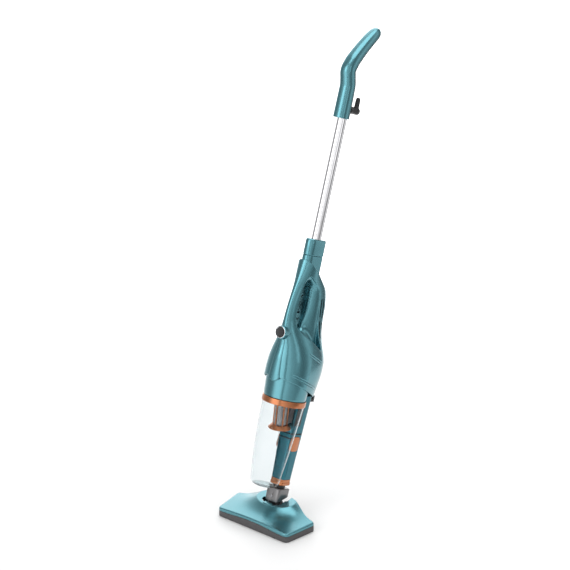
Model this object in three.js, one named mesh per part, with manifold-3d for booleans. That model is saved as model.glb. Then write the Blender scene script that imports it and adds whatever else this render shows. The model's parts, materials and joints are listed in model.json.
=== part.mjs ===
// An upright stick vacuum: a floor head, a swivelling neck, a handheld body with a clear
// dust cup and a loop grip, and a chrome tube that ends in a long handle.
// Millimetres, +Z up. The front faces -Y and the user stands on the +Y side. The object is
// mirrored in the plane X = 0. The origin is on the floor under the head.
import * as THREE from "three";
import { mergeVertices } from "three/addons/utils/BufferGeometryUtils.js";
import Module from "manifold-3d";

const wasm = await Module();
wasm.setup();
const { Vector2, Vector3, Shape } = THREE;
const { PI, abs, cos, sin, tan, sign, hypot } = Math;

// ---- Driving dimensions -------------------------------------------------------------
const GAP = 0.3; // room between two pieces that touch
const WALL = 2.2; // moulded wall
const LEAN = 19; // degrees, how far the body leans back
const BODY_Y = 46.7; // a point of the duct axis: the body's own frame starts here
const BODY_Z = 50;
const HINGE_S = -20; // the pitch hinge, along the duct axis from that point
const ROLL_S = -1; // the roll pivot of the yoke

const HEAD_FRONT = 200; // width of the head at its front edge
const HEAD_BACK = 224;
const HEAD_DEPTH = 84;
const SOLE_TOP = 14;
const COVER_EDGE = 20;
const COLLAR_Z = 42; // top of the cover's collar round the neck
const COLLAR_R = 33;

const TUBE_D = 22;
const TUBE_F = 59.5; // the tube's axis, forward of the duct axis
const TUBE_LOW = 560;
const TUBE_HIGH = 900;

const RING_R = 49; // copper ring at the top of the dust cup
const RING_F = 51;
const RING_LOW = 212;
const RING_HIGH = 225;
const CUP_WALL = 2;
const SEAL_R = 41.5;
const CORE_R = 14; // mesh cylinder of the cyclone

const DUCT_LOW = 25;
const DUCT_HIGH = 232;
const SHELL_TOP = 537;
const HOOD_S = 470; // the oblique plane that ends the shell, on the duct axis
const HOOD_RISE = 0.72; // and its rise for each millimetre forward
const STUB_TOP = 544; // the stub behind the hood, which takes the rod's plug
const CONNECTOR_TOP = 580;

const SHELL_EDGE_S = 237; // the shell's lower edge, on the duct axis
const SHELL_EDGE_RISE = 0.34; // and its rise for each millimetre forward
const MOTOR_F = 50; // the motor's axis, forward of the duct axis
const FAN_LOW = 284;
const LATCH_S = 518; // the rod's latch button, on the back of the handheld's top
const GLAND_F = 30; // gland of the mains lead, behind the stub
const YOKE_BOTTOM = 44.5;
const HOOK_S = 867; // the cord hook on the handle
const SEAM = 112; // degrees from the handle's front to its grip strip
const CORE_F = 57; // top of the cyclone's core, forward of the duct axis
const CORE_TILT = 10; // degrees, its foot leans to the rear
const CUP_ROOM = 1.7; // room between the dust cup and the duct
const EAR_X = 27.5; // the ears that hold the pitch pins
const NECK_HOLE_Y = 43;
const CATCH_Y = 13;
const BRISTLE_Y = [-31, 10]; // the two bristle strips under the head
const ARCH = 5.5; // how far the front wall of the sole arches up
const BACK_SWELL = 30; // how far the cover's back swells out round the collar
const MOTOR_LOW = 297;
const MOTOR_HIGH = 337;
const BUTTON_S = 371; // power button on the front
const RELEASE_S = 122; // the dust cup's release buttons, on the sides of the duct

// ---- Materials ----------------------------------------------------------------------
function finish(colour, roughness, metalness) {
  return new THREE.MeshStandardMaterial({ color: colour, roughness, metalness });
}
const TEAL = [0x4f93a0, 0.3, 0.55];
const COPPER = [0xc0703f, 0.3, 0.7];
const GUNMETAL = [0x86878a, 0.38, 0.5];
const BLACK = [0x151517, 0.5, 0];
const GREY = [0x4b4b4d, 0.5, 0];
const CHROME = [0xe8e8ea, 0.05, 1];
const STEEL = [0xb5b5b8, 0.3, 1];
const RUBBER = [0x222224, 0.8, 0];
const CLEAR = [0xeef6f8, 0.05, 0];
const WHITE = [0xf0efea, 0.8, 0];
const GREEN = [0x1d5a3a, 0.6, 0];
const BRISTLE = [0x2b2b2d, 0.9, 0];

// ---- Solids -------------------------------------------------------------------------
// A three.js geometry as a solid with its faces pointing out, moved by an optional matrix.
function solid(geometry, matrix) {
  const g = geometry.clone();
  g.deleteAttribute("normal");
  g.deleteAttribute("uv");
  if (matrix) g.applyMatrix4(matrix);
  const merged = mergeVertices(g, 1e-4);
  const vertProperties = new Float32Array(merged.attributes.position.array);
  const triVerts = new Uint32Array(merged.index.array);
  const make = () => new wasm.Manifold(new wasm.Mesh({ numProp: 3, vertProperties, triVerts }));
  const made = make();
  if (made.volume() > 0) return made;
  triVerts.reverse();
  return make();
}

function join(first, ...rest) {
  return rest.reduce((sum, next) => sum.add(next), first);
}

function cut(first, ...rest) {
  return rest.reduce((left, next) => left.subtract(next), first);
}

function geometryOf(made) {
  const { vertProperties, triVerts, numProp } = made.getMesh();
  const points = [];
  for (let i = 0; i < vertProperties.length; i += numProp) {
    points.push(...vertProperties.subarray(i, i + 3));
  }
  const g = new THREE.BufferGeometry();
  g.setAttribute("position", new THREE.Float32BufferAttribute(points, 3));
  g.setIndex([...triVerts]);
  g.computeVertexNormals();
  return g;
}

function place(x, y, z, turnX = 0, turnY = 0, turnZ = 0) {
  const turn = new THREE.Euler(turnX, turnY, turnZ);
  const m = new THREE.Matrix4().makeRotationFromEuler(turn);
  return m.setPosition(x, y, z);
}

function box(x0, x1, y0, y1, z0, z1) {
  const g = new THREE.BoxGeometry(x1 - x0, y1 - y0, z1 - z0);
  return solid(g, place((x0 + x1) / 2, (y0 + y1) / 2, (z0 + z1) / 2));
}

// A round bar along Z from z0 to z1, tapering from r0 to r1.
function rod(r0, r1, z0, z1, x = 0, y = 0, sides = 24) {
  const g = new THREE.CylinderGeometry(r1, r0, z1 - z0, sides);
  return solid(g, place(x, y, (z0 + z1) / 2, PI / 2));
}

// The same bar laid along X or along Y.
function rodX(r, x0, x1, y, z, sides = 16) {
  const g = new THREE.CylinderGeometry(r, r, x1 - x0, sides);
  return solid(g, place((x0 + x1) / 2, y, z, 0, 0, PI / 2));
}

function rodY(r, y0, y1, x, z, sides = 16) {
  const g = new THREE.CylinderGeometry(r, r, y1 - y0, sides);
  return solid(g, place(x, (y0 + y1) / 2, z));
}

// A skin over rings of equally many points, closed by a fan at each end.
function loft(rings) {
  const n = rings[0].length;
  const points = rings.flat();
  const faces = [];
  for (let r = 0; r + 1 < rings.length; r++) {
    for (let i = 0; i < n; i++) {
      const a = r * n + i;
      const b = r * n + ((i + 1) % n);
      faces.push(a, b, b + n, a, b + n, a + n);
    }
  }
  const ends = [rings[0], rings.at(-1)];
  ends.forEach((ring, end) => {
    const middle = points.length;
    const centre = ring.reduce((sum, p) => sum.add(p), new Vector3());
    points.push(centre.divideScalar(n));
    const first = end ? (rings.length - 1) * n : 0;
    for (let i = 0; i < n; i++) {
      const a = first + i;
      const b = first + ((i + 1) % n);
      faces.push(...(end ? [a, b, middle] : [b, a, middle]));
    }
  });
  const g = new THREE.BufferGeometry().setFromPoints(points);
  g.setIndex(faces);
  return solid(g);
}

// A closed outline round the body's middle plane. Its half width is a at the distance `mid`
// forward of the duct axis; it reaches forward to `front` and back to `rear`. Each end is a
// superellipse, of the power nf or nr, and the rear end narrows by the share `taper`.
function eggRing({ s, front, mid, rear, a, taper = 0, nf = 2, nr = 2 }, sides, shrink = 0) {
  const middle = mid ?? (front + rear) / 2;
  const ring = [];
  for (let i = 0; i < sides; i++) {
    const t = (2 * PI * i) / sides;
    const ahead = cos(t) >= 0;
    const n = ahead ? nf : nr;
    const depth = (ahead ? front - middle : middle - rear) - shrink;
    const along = abs(cos(t)) ** (2 / n);
    const across = sign(sin(t)) * abs(sin(t)) ** (2 / n);
    const narrow = ahead ? 1 : 1 - taper * along;
    const f = middle + (ahead ? depth : -depth) * along;
    ring.push(new Vector3((a - shrink) * across * narrow, -f, s));
  }
  return ring;
}

function eggLoft(stations, sides, shrink = 0) {
  return loft(stations.map((station) => eggRing(station, sides, shrink)));
}

// A plate: an outline of [x, y] points, as a solid between z0 and z1.
function plate(points, z0, z1, bevel = 0) {
  const shape = points instanceof Shape ? points : new Shape(points.map((p) => new Vector2(...p)));
  const options = { depth: z1 - z0, bevelEnabled: false, curveSegments: 4 };
  if (bevel) {
    Object.assign(options, {
      depth: z1 - z0 - 2 * bevel,
      bevelEnabled: true,
      bevelSize: bevel,
      bevelThickness: bevel,
      bevelOffset: -bevel,
      bevelSegments: 1,
    });
  }
  return solid(new THREE.ExtrudeGeometry(shape, options), place(0, 0, z0 + (bevel || 0)));
}

function roundedRect(w, h, r, cx = 0, cy = 0) {
  const s = new Shape();
  const [x, y] = [cx - w / 2, cy - h / 2];
  s.moveTo(x + r, y);
  s.lineTo(x + w - r, y);
  s.absarc(x + w - r, y + r, r, -PI / 2, 0);
  s.lineTo(x + w, y + h - r);
  s.absarc(x + w - r, y + h - r, r, 0, PI / 2);
  s.lineTo(x + r, y + h);
  s.absarc(x + r, y + h - r, r, PI / 2, PI);
  s.lineTo(x, y + r);
  s.absarc(x + r, y + r, r, PI, 1.5 * PI);
  return s;
}

// A ring turned round an axis parallel to Z: its profile is [radius, z] points.
function lathe(profile, y = 0, sides = 28) {
  const closed = [...profile, profile[0]].map(([r, z]) => new Vector2(r, z));
  return solid(new THREE.LatheGeometry(closed, sides), place(0, y, 0, PI / 2));
}

function tubeRing(r0, r1, z0, z1, y = 0, sides = 28) {
  return cut(rod(r1, r1, z0, z1, 0, y, sides), rod(r0, r0, z0 - 1, z1 + 1, 0, y, sides));
}

// A coil spring of `turns`, along Z from z0 to z1.
function coil(radius, wire, turns, z0, z1) {
  class Helix extends THREE.Curve {
    getPoint(t, target = new Vector3()) {
      const angle = 2 * PI * turns * t;
      return target.set(radius * cos(angle), radius * sin(angle), z0 + (z1 - z0) * t);
    }
  }
  const section = new Shape([[wire, 0], [0, wire], [-wire, 0], [0, -wire]].map((p) => new Vector2(...p)));
  const options = { steps: turns * 8, extrudePath: new Helix() };
  return solid(new THREE.ExtrudeGeometry(section, options));
}

// A screw with a slotted head, its head's seat at z = 0 and pointing up.
function screw(head, shank, length) {
  const dome = rod(head, head * 0.8, 0, 1.6, 0, 0, 12);
  const stem = rod(shank, shank, -length, 0.1, 0, 0, 8);
  return cut(join(dome, stem), box(-head * 2, head * 2, -0.4, 0.4, 1, 2));
}

export const group = new THREE.Group();
// The upper body's own frame: z runs up the duct axis and -y is forward.
const body = new THREE.Group();
body.position.set(0, BODY_Y, BODY_Z);
body.rotation.x = (-LEAN * PI) / 180;
group.add(body);

function add(parent, name, made, look) {
  const mesh = new THREE.Mesh(geometryOf(made), finish(...look));
  mesh.name = name;
  parent.add(mesh);
  return mesh;
}

// A point of the body's frame in the object's frame.
function inObject(x, f, s) {
  const lean = (LEAN * PI) / 180;
  return new Vector3(
    x,
    BODY_Y + s * sin(lean) - f * cos(lean),
    BODY_Z + s * cos(lean) + f * sin(lean),
  );
}
const HINGE = inObject(0, 0, HINGE_S);

// ---- Floor head ---------------------------------------------------------------------
const HALF = HEAD_DEPTH / 2;

// The head's outline in plan, `inset` inside the true edge. The back edge swells to the
// rear in the middle, round the collar.
function headOutline(inset, swell) {
  const front = HEAD_FRONT / 2 - inset;
  const back = HEAD_BACK / 2 - inset;
  const yFront = -HALF + inset;
  const yBack = HALF - inset;
  const r = 10;
  const s = new Shape();
  s.moveTo(-front + r, yFront);
  s.lineTo(front - r, yFront);
  s.quadraticCurveTo(front, yFront, front + 1.4, yFront + r);
  s.lineTo(back - 1, yBack - 7);
  s.quadraticCurveTo(back, yBack, back - 9, yBack);
  if (swell) {
    s.bezierCurveTo(back - 45, yBack + 2, 52, yBack + swell, 0, yBack + swell);
    s.bezierCurveTo(-52, yBack + swell, -back + 45, yBack + 2, -back + 9, yBack);
  } else {
    s.lineTo(-back + 9, yBack);
  }
  s.quadraticCurveTo(-back, yBack, -back + 1, yBack - 7);
  s.lineTo(-front - 1.4, yFront + r);
  s.quadraticCurveTo(-front, yFront, -front + r, yFront);
  return s;
}

const WHEEL_R = 8;
const WHEEL_X = 84;
const WHEEL_Y = 30;
const WHEEL_W = 12;

function floorHead() {
  const slot = box(-88, 88, -24, -8, -1, SOLE_TOP + 1);
  const throat = box(-20, 20, -24, 34, 6, SOLE_TOP + 1);
  const wells = [-1, 1].map((side) =>
    box(
      side * WHEEL_X - WHEEL_W / 2 - 1,
      side * WHEEL_X + WHEEL_W / 2 + 1,
      WHEEL_Y - WHEEL_R - 1,
      WHEEL_Y + WHEEL_R + 1,
      -1,
      SOLE_TOP + 1,
    ),
  );
  const grooves = BRISTLE_Y.map((y) => box(-90, 90, y - 2.5, y + 2.5, -1, 5));
  const hollow = cut(
    plate(headOutline(3, 0), 3, SOLE_TOP + 1),
    ...BRISTLE_Y.map((y) => box(-92, 92, y - 4.5, y + 4.5, 0, 8)),
    box(-92, 92, -27, -5, 0, SOLE_TOP + 2),
    box(-24, 24, -6, 34, 0, SOLE_TOP + 2),
    ...[-1, 1].map((side) =>
      box(side * WHEEL_X - 9.5, side * WHEEL_X + 9.5, WHEEL_Y - 11.5, WHEEL_Y + 12, 0, SOLE_TOP + 2),
    ),
    ...headScrewPlaces().map(([x, y]) => rod(4.5, 4.5, 0, 20, x, y, 16)),
  );
  const axleHoles = [-1, 1].map((side) =>
    rodX(1.8, side * WHEEL_X - 8.6, side * WHEEL_X + 8.6, WHEEL_Y, WHEEL_R, 12),
  );
  const screwHoles = headScrewPlaces().flatMap(([x, y]) => [
    rod(1.9, 1.9, -1, 20, x, y, 12),
    rod(3.8, 3.8, -1, 4, x, y, 16),
  ]);
  const arch = archBlock(-HALF - 1, -HALF + 3.5, 0).intersect(plate(headOutline(0, 0), 0, 40));
  const sole = cut(
    join(plate(headOutline(0, 0), 0, SOLE_TOP - GAP), arch),
    slot,
    throat,
    ...wells,
    ...grooves,
    hollow,
    ...axleHoles,
    ...screwHoles,
  );
  add(group, "head_sole", sole, GREY);

  BRISTLE_Y.forEach((y, i) => {
    const strip = join(
      box(-89.5, 89.5, y - 2.2, y + 2.2, 2.4, 5 - GAP),
      box(-89, 89, y - 1.4, y + 1.4, 0.3, 2.6),
    );
    add(group, ["bristle_strip_front", "bristle_strip_rear"][i], strip, BRISTLE);
  });

  for (const side of [-1, 1]) {
    const word = side < 0 ? "left" : "right";
    const x = side * WHEEL_X;
    const wheel = cut(
      rodX(WHEEL_R, x - WHEEL_W / 2, x + WHEEL_W / 2, WHEEL_Y, WHEEL_R, 28),
      rodX(1.9, x - WHEEL_W, x + WHEEL_W, WHEEL_Y, WHEEL_R, 12),
    );
    add(group, `wheel_${word}`, wheel, BLACK);
    add(group, `wheel_axle_${word}`, rodX(1.5, x - 8.3, x + 8.3, WHEEL_Y, WHEEL_R, 12), STEEL);
  }
  headScrewPlaces().forEach(([x, y], i) => {
    const made = screw(3.3, 1.5, 11).rotate([180, 0, 0]).translate([x, y, 3.7]);
    add(group, `head_screw_${i + 1}`, made, STEEL);
  });
  headCover();
}

function headScrewPlaces() {
  return [
    [-62, 23],
    [62, 23],
  ];
}

// The cover's crown at a place in plan: a low dome over the whole head, and a bell that
// sweeps up to the collar.
function coverHeight(x, y) {
  const across = 1 - (abs(x) / (HEAD_BACK / 2)) ** 2;
  const dome = COVER_EDGE + 5 * across;
  const out = hypot(x / 1.35, y - COLLAR_Y);
  const bell = (COLLAR_Z - COVER_EDGE) * Math.exp(-((Math.max(0, out - COLLAR_R + 4) / 22) ** 1.3));
  return Math.min(dome + bell, COLLAR_Z);
}
const COLLAR_Y = 43;

// The front wall of the sole rises to this arch, and the cover's lower edge follows it.
function archBlock(y0, y1, lift) {
  const steps = 16;
  const half = HEAD_FRONT / 2 - 6;
  const top = [];
  for (let i = 0; i <= steps; i++) {
    const x = -half + (2 * half * i) / steps;
    top.push([x, SOLE_TOP - GAP + lift + ARCH * cos((x / half) * (PI / 2)) ** 2]);
  }
  const outline = [[half, SOLE_TOP - 3], [-half, SOLE_TOP - 3], ...top];
  return plate(outline, -y1, -y0).rotate([90, 0, 0]);
}

function headCover() {
  const outline = headOutline(0, BACK_SWELL).getSpacedPoints(44).slice(0, -1);
  const top = coverSkin(outline, 0, SOLE_TOP);
  const under = coverSkin(outline, WALL, SOLE_TOP - 5);
  const posts = headScrewPlaces().map(([x, y]) => rod(4.2, 4.2, SOLE_TOP, 60, x, y, 16).intersect(top));
  const postHoles = headScrewPlaces().map(([x, y]) => rod(1.7, 1.7, 0, SOLE_TOP + 7, x, y, 12));
  const ears = [-1, 1].map((side) => {
    const x = side * EAR_X;
    const ear = join(
      rodX(6.5, x - 4, x + 4, HINGE.y, HINGE.z),
      box(x - 4, x + 4, HINGE.y - 6.5, HINGE.y + 6.5, HINGE.z, 60),
    );
    return ear.intersect(top);
  });
  const neckHole = plate(roundedRect(53, 54, 16, 0, NECK_HOLE_Y), 10, 60);
  const rearNotch = join(
    box(-23.5, 23.5, HINGE.y, 90, SOLE_TOP + 2.5, 60),
    box(-24.6, 24.6, HINGE.y + 8, 90, SOLE_TOP + 2.5, 60),
  );
  const pinHole = rodX(3.2, -40, 40, HINGE.y, HINGE.z);
  const shell = cut(join(cut(top, under), ...posts), neckHole);
  const cover = cut(
    join(shell, ...ears),
    ...postHoles,
    pinHole,
    rearNotch,
    plate(roundedRect(22, 11, 3, 0, CATCH_Y), 20, 60),
    archBlock(-HALF - 1, -HALF + 3.8, GAP),
  );
  add(group, "head_cover", cover, TEAL);
  for (const side of [-1, 1]) {
    const name = side < 0 ? "pitch_pin_left" : "pitch_pin_right";
    const ends = [side * 10.8, side * (EAR_X + 3.5)].sort((a, b) => a - b);
    add(group, name, rodX(2.9, ...ends, HINGE.y, HINGE.z, 16), STEEL);
  }
  const key = join(
    plate(roundedRect(21.2, 10.2, 2.6, 0, CATCH_Y), COLLAR_Z - 10, COLLAR_Z + 1.5, 1.2),
    box(-3, 3, CATCH_Y - 3, CATCH_Y + 3, SOLE_TOP + 1, COLLAR_Z - 8),
  );
  add(group, "head_catch", key, TEAL);
}

// A dome over the outline, closed below at `bottom`: rings of the outline that shrink to
// the collar's centre, at the heights of coverHeight.
function coverSkin(outline, inset, bottom) {
  const count = 6;
  const ringAt = (k, height) =>
    outline.map((p) => {
      const long = hypot(p.x, p.y - COLLAR_Y);
      const share = (k * (long - inset)) / long;
      const x = p.x * share;
      const y = COLLAR_Y + (p.y - COLLAR_Y) * share;
      return new Vector3(x, y, height(x, y));
    });
  const rings = [ringAt(1, () => bottom), ringAt(1, (x, y) => coverHeight(x, y) - inset - 1.8)];
  for (let r = 0; r < count; r++) {
    const k = 0.985 * (1 - r / count);
    rings.push(ringAt(k, (x, y) => coverHeight(x, y) - inset));
  }
  return loft(rings);
}

// ---- Neck: the elbow pitches in the head, and the yoke rolls on the elbow --------------
// A block that fills the body's frame below a plane, which crosses the duct axis at s and
// rises by `rise` for each millimetre forward.
function below(s, rise) {
  const g = new THREE.BoxGeometry(400, 400, 400).translate(0, 0, -200);
  return solid(g, place(0, 0, s, -Math.atan(rise)));
}

// A block that fills everything above such a plane.
function above(s, rise) {
  const g = new THREE.BoxGeometry(400, 400, 400).translate(0, 0, 200);
  return solid(g, place(0, 0, s, -Math.atan(rise)));
}

function neck() {
  const lean = (LEAN * PI) / 180;
  const barrel = rodX(11, -12.6, 12.6, 0, HINGE_S, 20);
  const tower = rod(13, 13, HINGE_S, 6, 0, 0, 24);
  const bosses = rodY(5.5, -16, 16, 0, ROLL_S, 16);
  const elbow = cut(
    join(barrel, tower, bosses),
    rod(10, 10, HINGE_S - 12, 12, 0, 0, 20),
    rodX(3.2, -14, 14, 0, HINGE_S, 12),
    rodY(1.8, -17, 17, 0, ROLL_S, 12),
  );
  add(body, "elbow", elbow, BLACK);

  const block = { front: 21, rear: -19, a: 19, nf: 6, nr: 6 };
  const outside = eggLoft([
    { ...block, s: -18 },
    { ...block, s: 16.5 },
    { s: 18, front: 19.8, rear: -17.8, a: 17.8, nf: 6, nr: 6 },
  ], 28);
  const inside = eggLoft([{ ...block, s: -30 }, { ...block, s: 15.2 }], 28, 2.6);
  const yoke = cut(
    outside,
    inside,
    below((YOKE_BOTTOM - BODY_Z) / cos(lean), -tan(lean)),
    rod(13.5, 13.5, 10, 20),
    rodY(1.9, -30, 30, 0, ROLL_S, 12),
  );
  add(body, "yoke", yoke, GUNMETAL);
  const spigot = cut(join(rod(15.6, 15.6, 11.8, 14.9), rod(13.1, 13.1, 12, 50)), rod(10.6, 10.6, 0, 60));
  add(body, "neck_spigot", spigot, BLACK);
  const frontScrew = screw(3.2, 1.6, 9).rotate([90, 0, 0]).translate([0, -21.3, ROLL_S]);
  const rearScrew = screw(3.2, 1.6, 7).rotate([-90, 0, 0]).translate([0, 19.3, ROLL_S]);
  add(body, "roll_screw_front", frontScrew, STEEL);
  add(body, "roll_screw_rear", rearScrew, STEEL);
}

// ---- Duct: the air channel up the back of the dust cup ----------------------------------
const DUCT_SIDES = 24;
const DUCT = [
  { s: 39.3, front: 16.5, rear: -17.5, a: 17, nf: 5, nr: 5 },
  { s: 100, front: 18.3, rear: -19.5, a: 18.8, nf: 5, nr: 5 },
  { s: 155, front: 20, rear: -21.5, a: 20.5, nf: 5, nr: 5 },
  { s: DUCT_HIGH, front: 21, rear: -24.5, a: 22.5, nf: 5, nr: 5 },
];

// The same stations with the two ends moved along the axis.
function stretched(stations, low, high) {
  return stations.map((station, i) => {
    if (i === 0) return { ...station, s: station.s + low };
    if (i === stations.length - 1) return { ...station, s: station.s + high };
    return station;
  });
}

function duct() {
  const outside = eggLoft(DUCT, DUCT_SIDES);
  const inside = eggLoft(stretched(DUCT, -1, 1), DUCT_SIDES, WALL);
  const pockets = [-1, 1].map((side) => sideBox(side, 9, 30, -15, 20, RELEASE_S - 20, RELEASE_S + 20));
  const hollows = [-1, 1].map((side) => sideBox(side, 10.5, 16, -12.6, 16.6, RELEASE_S - 18, RELEASE_S + 18));
  const windows = [-1, 1].map((side) => releasePlate(side, 15.5, 30, 0.4));
  const port = box(-9, 9, -30, -12, 186, 202);
  const channel = cut(
    join(cut(outside, inside), ...pockets.map((p) => p.intersect(outside))),
    ...hollows,
    ...windows,
    port,
  );
  add(body, "duct", channel, TEAL);

  const step = { front: 17.4, rear: -18.4, a: 17.9, nf: 5, nr: 5 };
  const collar = cut(
    eggLoft([
      { s: DUCT_LOW, front: 15.8, rear: -16.8, a: 16.4, nf: 5, nr: 5 },
      { ...step, s: DUCT_LOW + 2 },
      { ...step, s: 32 },
      { s: 32.6, front: 16.7, rear: -17.7, a: 17.2, nf: 5, nr: 5 },
      { s: 39, front: 16.7, rear: -17.7, a: 17.2, nf: 5, nr: 5 },
    ], 28),
    rod(13.4, 13.4, 20, 50),
  );
  add(body, "duct_collar", collar, COPPER);

  for (const side of [-1, 1]) {
    const word = side < 0 ? "left" : "right";
    const skin = cut(eggLoft(DUCT, DUCT_SIDES, -1.1), eggLoft(DUCT, DUCT_SIDES, -0.3));
    const label = skin.intersect(sideBox(side, 8, 30, 1, 18, 164, 208));
    add(body, `label_panel_${word}`, label, GREY);
    add(body, `release_button_${word}`, releasePlate(side, 16.4, 20.6, 0), COPPER);
    const spring = coil(4, 0.5, 4, 10.9, 15.9).rotate([0, side * 90, 0]).translate([0, -2, RELEASE_S]);
    add(body, `release_spring_${word}`, spring, STEEL);
  }
}

// A box on one side of the body, from x0 to x1 outwards, from `rear` to `front`.
function sideBox(side, x0, x1, rear, front, s0, s1) {
  const [a, b] = side < 0 ? [-x1, -x0] : [x0, x1];
  return box(a, b, -front, -rear, s0, s1);
}

function releasePlate(side, x0, x1, more) {
  const outline = roundedRect(34 + 2 * more, 27 + 2 * more, 7 + more, RELEASE_S, -2);
  const flat = plate(outline, x0, x1, more ? 0 : 0.8);
  // The plate's own x runs up the body and its thickness runs outwards.
  const upright = new THREE.Matrix4().set(0, 0, side, 0, 0, 1, 0, 0, 1, 0, 0, 0, 0, 0, 0, 1);
  return transformed(flat, upright);
}

function transformed(made, matrix) {
  return solid(geometryOf(made), matrix);
}

// ---- Handheld shell ---------------------------------------------------------------------
const SHELL = [
  { s: 215, front: 101, mid: 51, rear: -27, a: 50, taper: 0.38, nf: 2.1, nr: 3 },
  { s: 262, front: 105.5, mid: 51, rear: -28, a: 53.3, taper: 0.22, nf: 2.1, nr: 3 },
  { s: 285, front: 107, mid: 50, rear: -29, a: 53.3, taper: 0.14, nf: 2.1, nr: 3 },
  { s: 311, front: 107, mid: 48, rear: -29, a: 51.5, taper: 0.1, nf: 2.1, nr: 3 },
  { s: 345, front: 104.5, mid: 44, rear: -25, a: 43.5, taper: 0.12, nf: 2.1, nr: 2.6 },
  { s: 360, front: 105, mid: 42, rear: -21, a: 37, taper: 0.12, nf: 2.1, nr: 2.6 },
  { s: 375, front: 107, mid: 38, rear: -18, a: 30.5, taper: 0.1, nf: 2.1, nr: 2.6 },
  { s: 405, front: 108, mid: 32, rear: -15, a: 23.5, nf: 2.1, nr: 2.6 },
  { s: 430, front: 106, mid: 31, rear: -14.5, a: 22, nf: 2.1, nr: 2.6 },
  { s: 470, front: 99, mid: 40, rear: -4, a: 21.5, nf: 2.1, nr: 2.5 },
  { s: 500, front: 93.5, mid: 57, rear: 20, a: 23, nf: 2.1, nr: 2.2 },
  { s: SHELL_TOP, front: 89, mid: 64, rear: 39, a: 25 },
];
const SHELL_SIDES = 26;

// The loop's opening for the fingers. Each row is a point of its outline: forward and up in
// the middle plane, then forward and up on the shell's side, and the half width between them.
// The bar behind the opening is a thick rounded column, and the slim bar before it is the grip.
const OPENING = [
  [68, 487, 76, 499, 17], [79, 478, 84, 487, 15], [84, 464, 88.5, 469, 14], [86, 445, 91, 446, 14],
  [86, 422, 91.5, 422, 14], [85, 402, 90.5, 400, 14], [80, 389, 84, 385, 15], [73, 381, 72, 375, 17],
  [66, 378, 60, 368, 19], [60, 380, 46, 361, 21], [56, 385, 32, 353, 22], [54, 390, 19, 345, 22],
  [53, 396, 9, 341, 22], [52, 402, 10, 350, 22], [51, 410, 15.5, 372, 22], [50, 420, 20.5, 398, 21.5],
  [49.5, 432, 23.5, 420, 21.5], [50, 444, 25.5, 440, 21.5], [51, 456, 28, 457, 21.5],
  [54, 468, 35, 470, 21], [59, 478, 49, 482, 20], [63, 483, 63, 492, 19],
];
const OPENING_LEVELS = [0, 0.45, 0.75, 0.93, 1];

// The opening as a cutter that is rounded from the middle plane out to the shell's sides. It
// is `more` larger all round.
function openingBlock(more) {
  const shifted = (i, column) => {
    const [last, here, next] = [i - 1, i, i + 1].map((k) => {
      const row = OPENING.at(k % OPENING.length);
      return new Vector2(row[column], row[column + 1]);
    });
    const along = next.sub(last).normalize();
    return [here.x - along.y * more, here.y + along.x * more];
  };
  const moved = OPENING.map((row, i) => [...shifted(i, 0), ...shifted(i, 2), row[4] - more]);
  const section = (level, x) => moved.map(([f, s, sideF, sideS, w]) => {
    const share = 1 - Math.sqrt(1 - level * level);
    return new Vector3(x ?? level * w, -(f + (sideF - f) * share), s + (sideS - s) * share);
  });
  const right = [...OPENING_LEVELS.map((level) => section(level)), section(1, 70)];
  const left = right.slice(1).reverse().map((ring) => ring.map((p) => new Vector3(-p.x, p.y, p.z)));
  return loft([...left, ...right]);
}

// The plan of the stub and of the connector above it: round in front and wider behind.
const STUB_FRONT = { x: 0, f: 73.3, r: 13.5 };
const STUB_CORNER = { x: 10.5, f: 46, r: 6 };
const STUB_TURN = 83.8; // degrees from the front to where the flat sides start

function stubRing(s, shrink = 0) {
  const ring = [];
  const arc = ({ x, f, r }, from, to, steps) => {
    for (let i = 0; i <= steps; i++) {
      const angle = ((from + ((to - from) * i) / steps) * PI) / 180;
      ring.push(new Vector3(x + (r - shrink) * sin(angle), -(f + (r - shrink) * cos(angle)), s));
    }
  };
  arc(STUB_FRONT, -STUB_TURN, STUB_TURN, 10);
  arc(STUB_CORNER, STUB_TURN, 180, 4);
  arc({ ...STUB_CORNER, x: -STUB_CORNER.x }, 180, 360 - STUB_TURN, 4);
  return ring;
}

const SCREWS = [[85, 318], [4, 465]];
const half = (side) => (side < 0 ? box(-99, -0.15, -150, 90, 180, 600) : box(0.15, 99, -150, 90, 180, 600));

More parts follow.
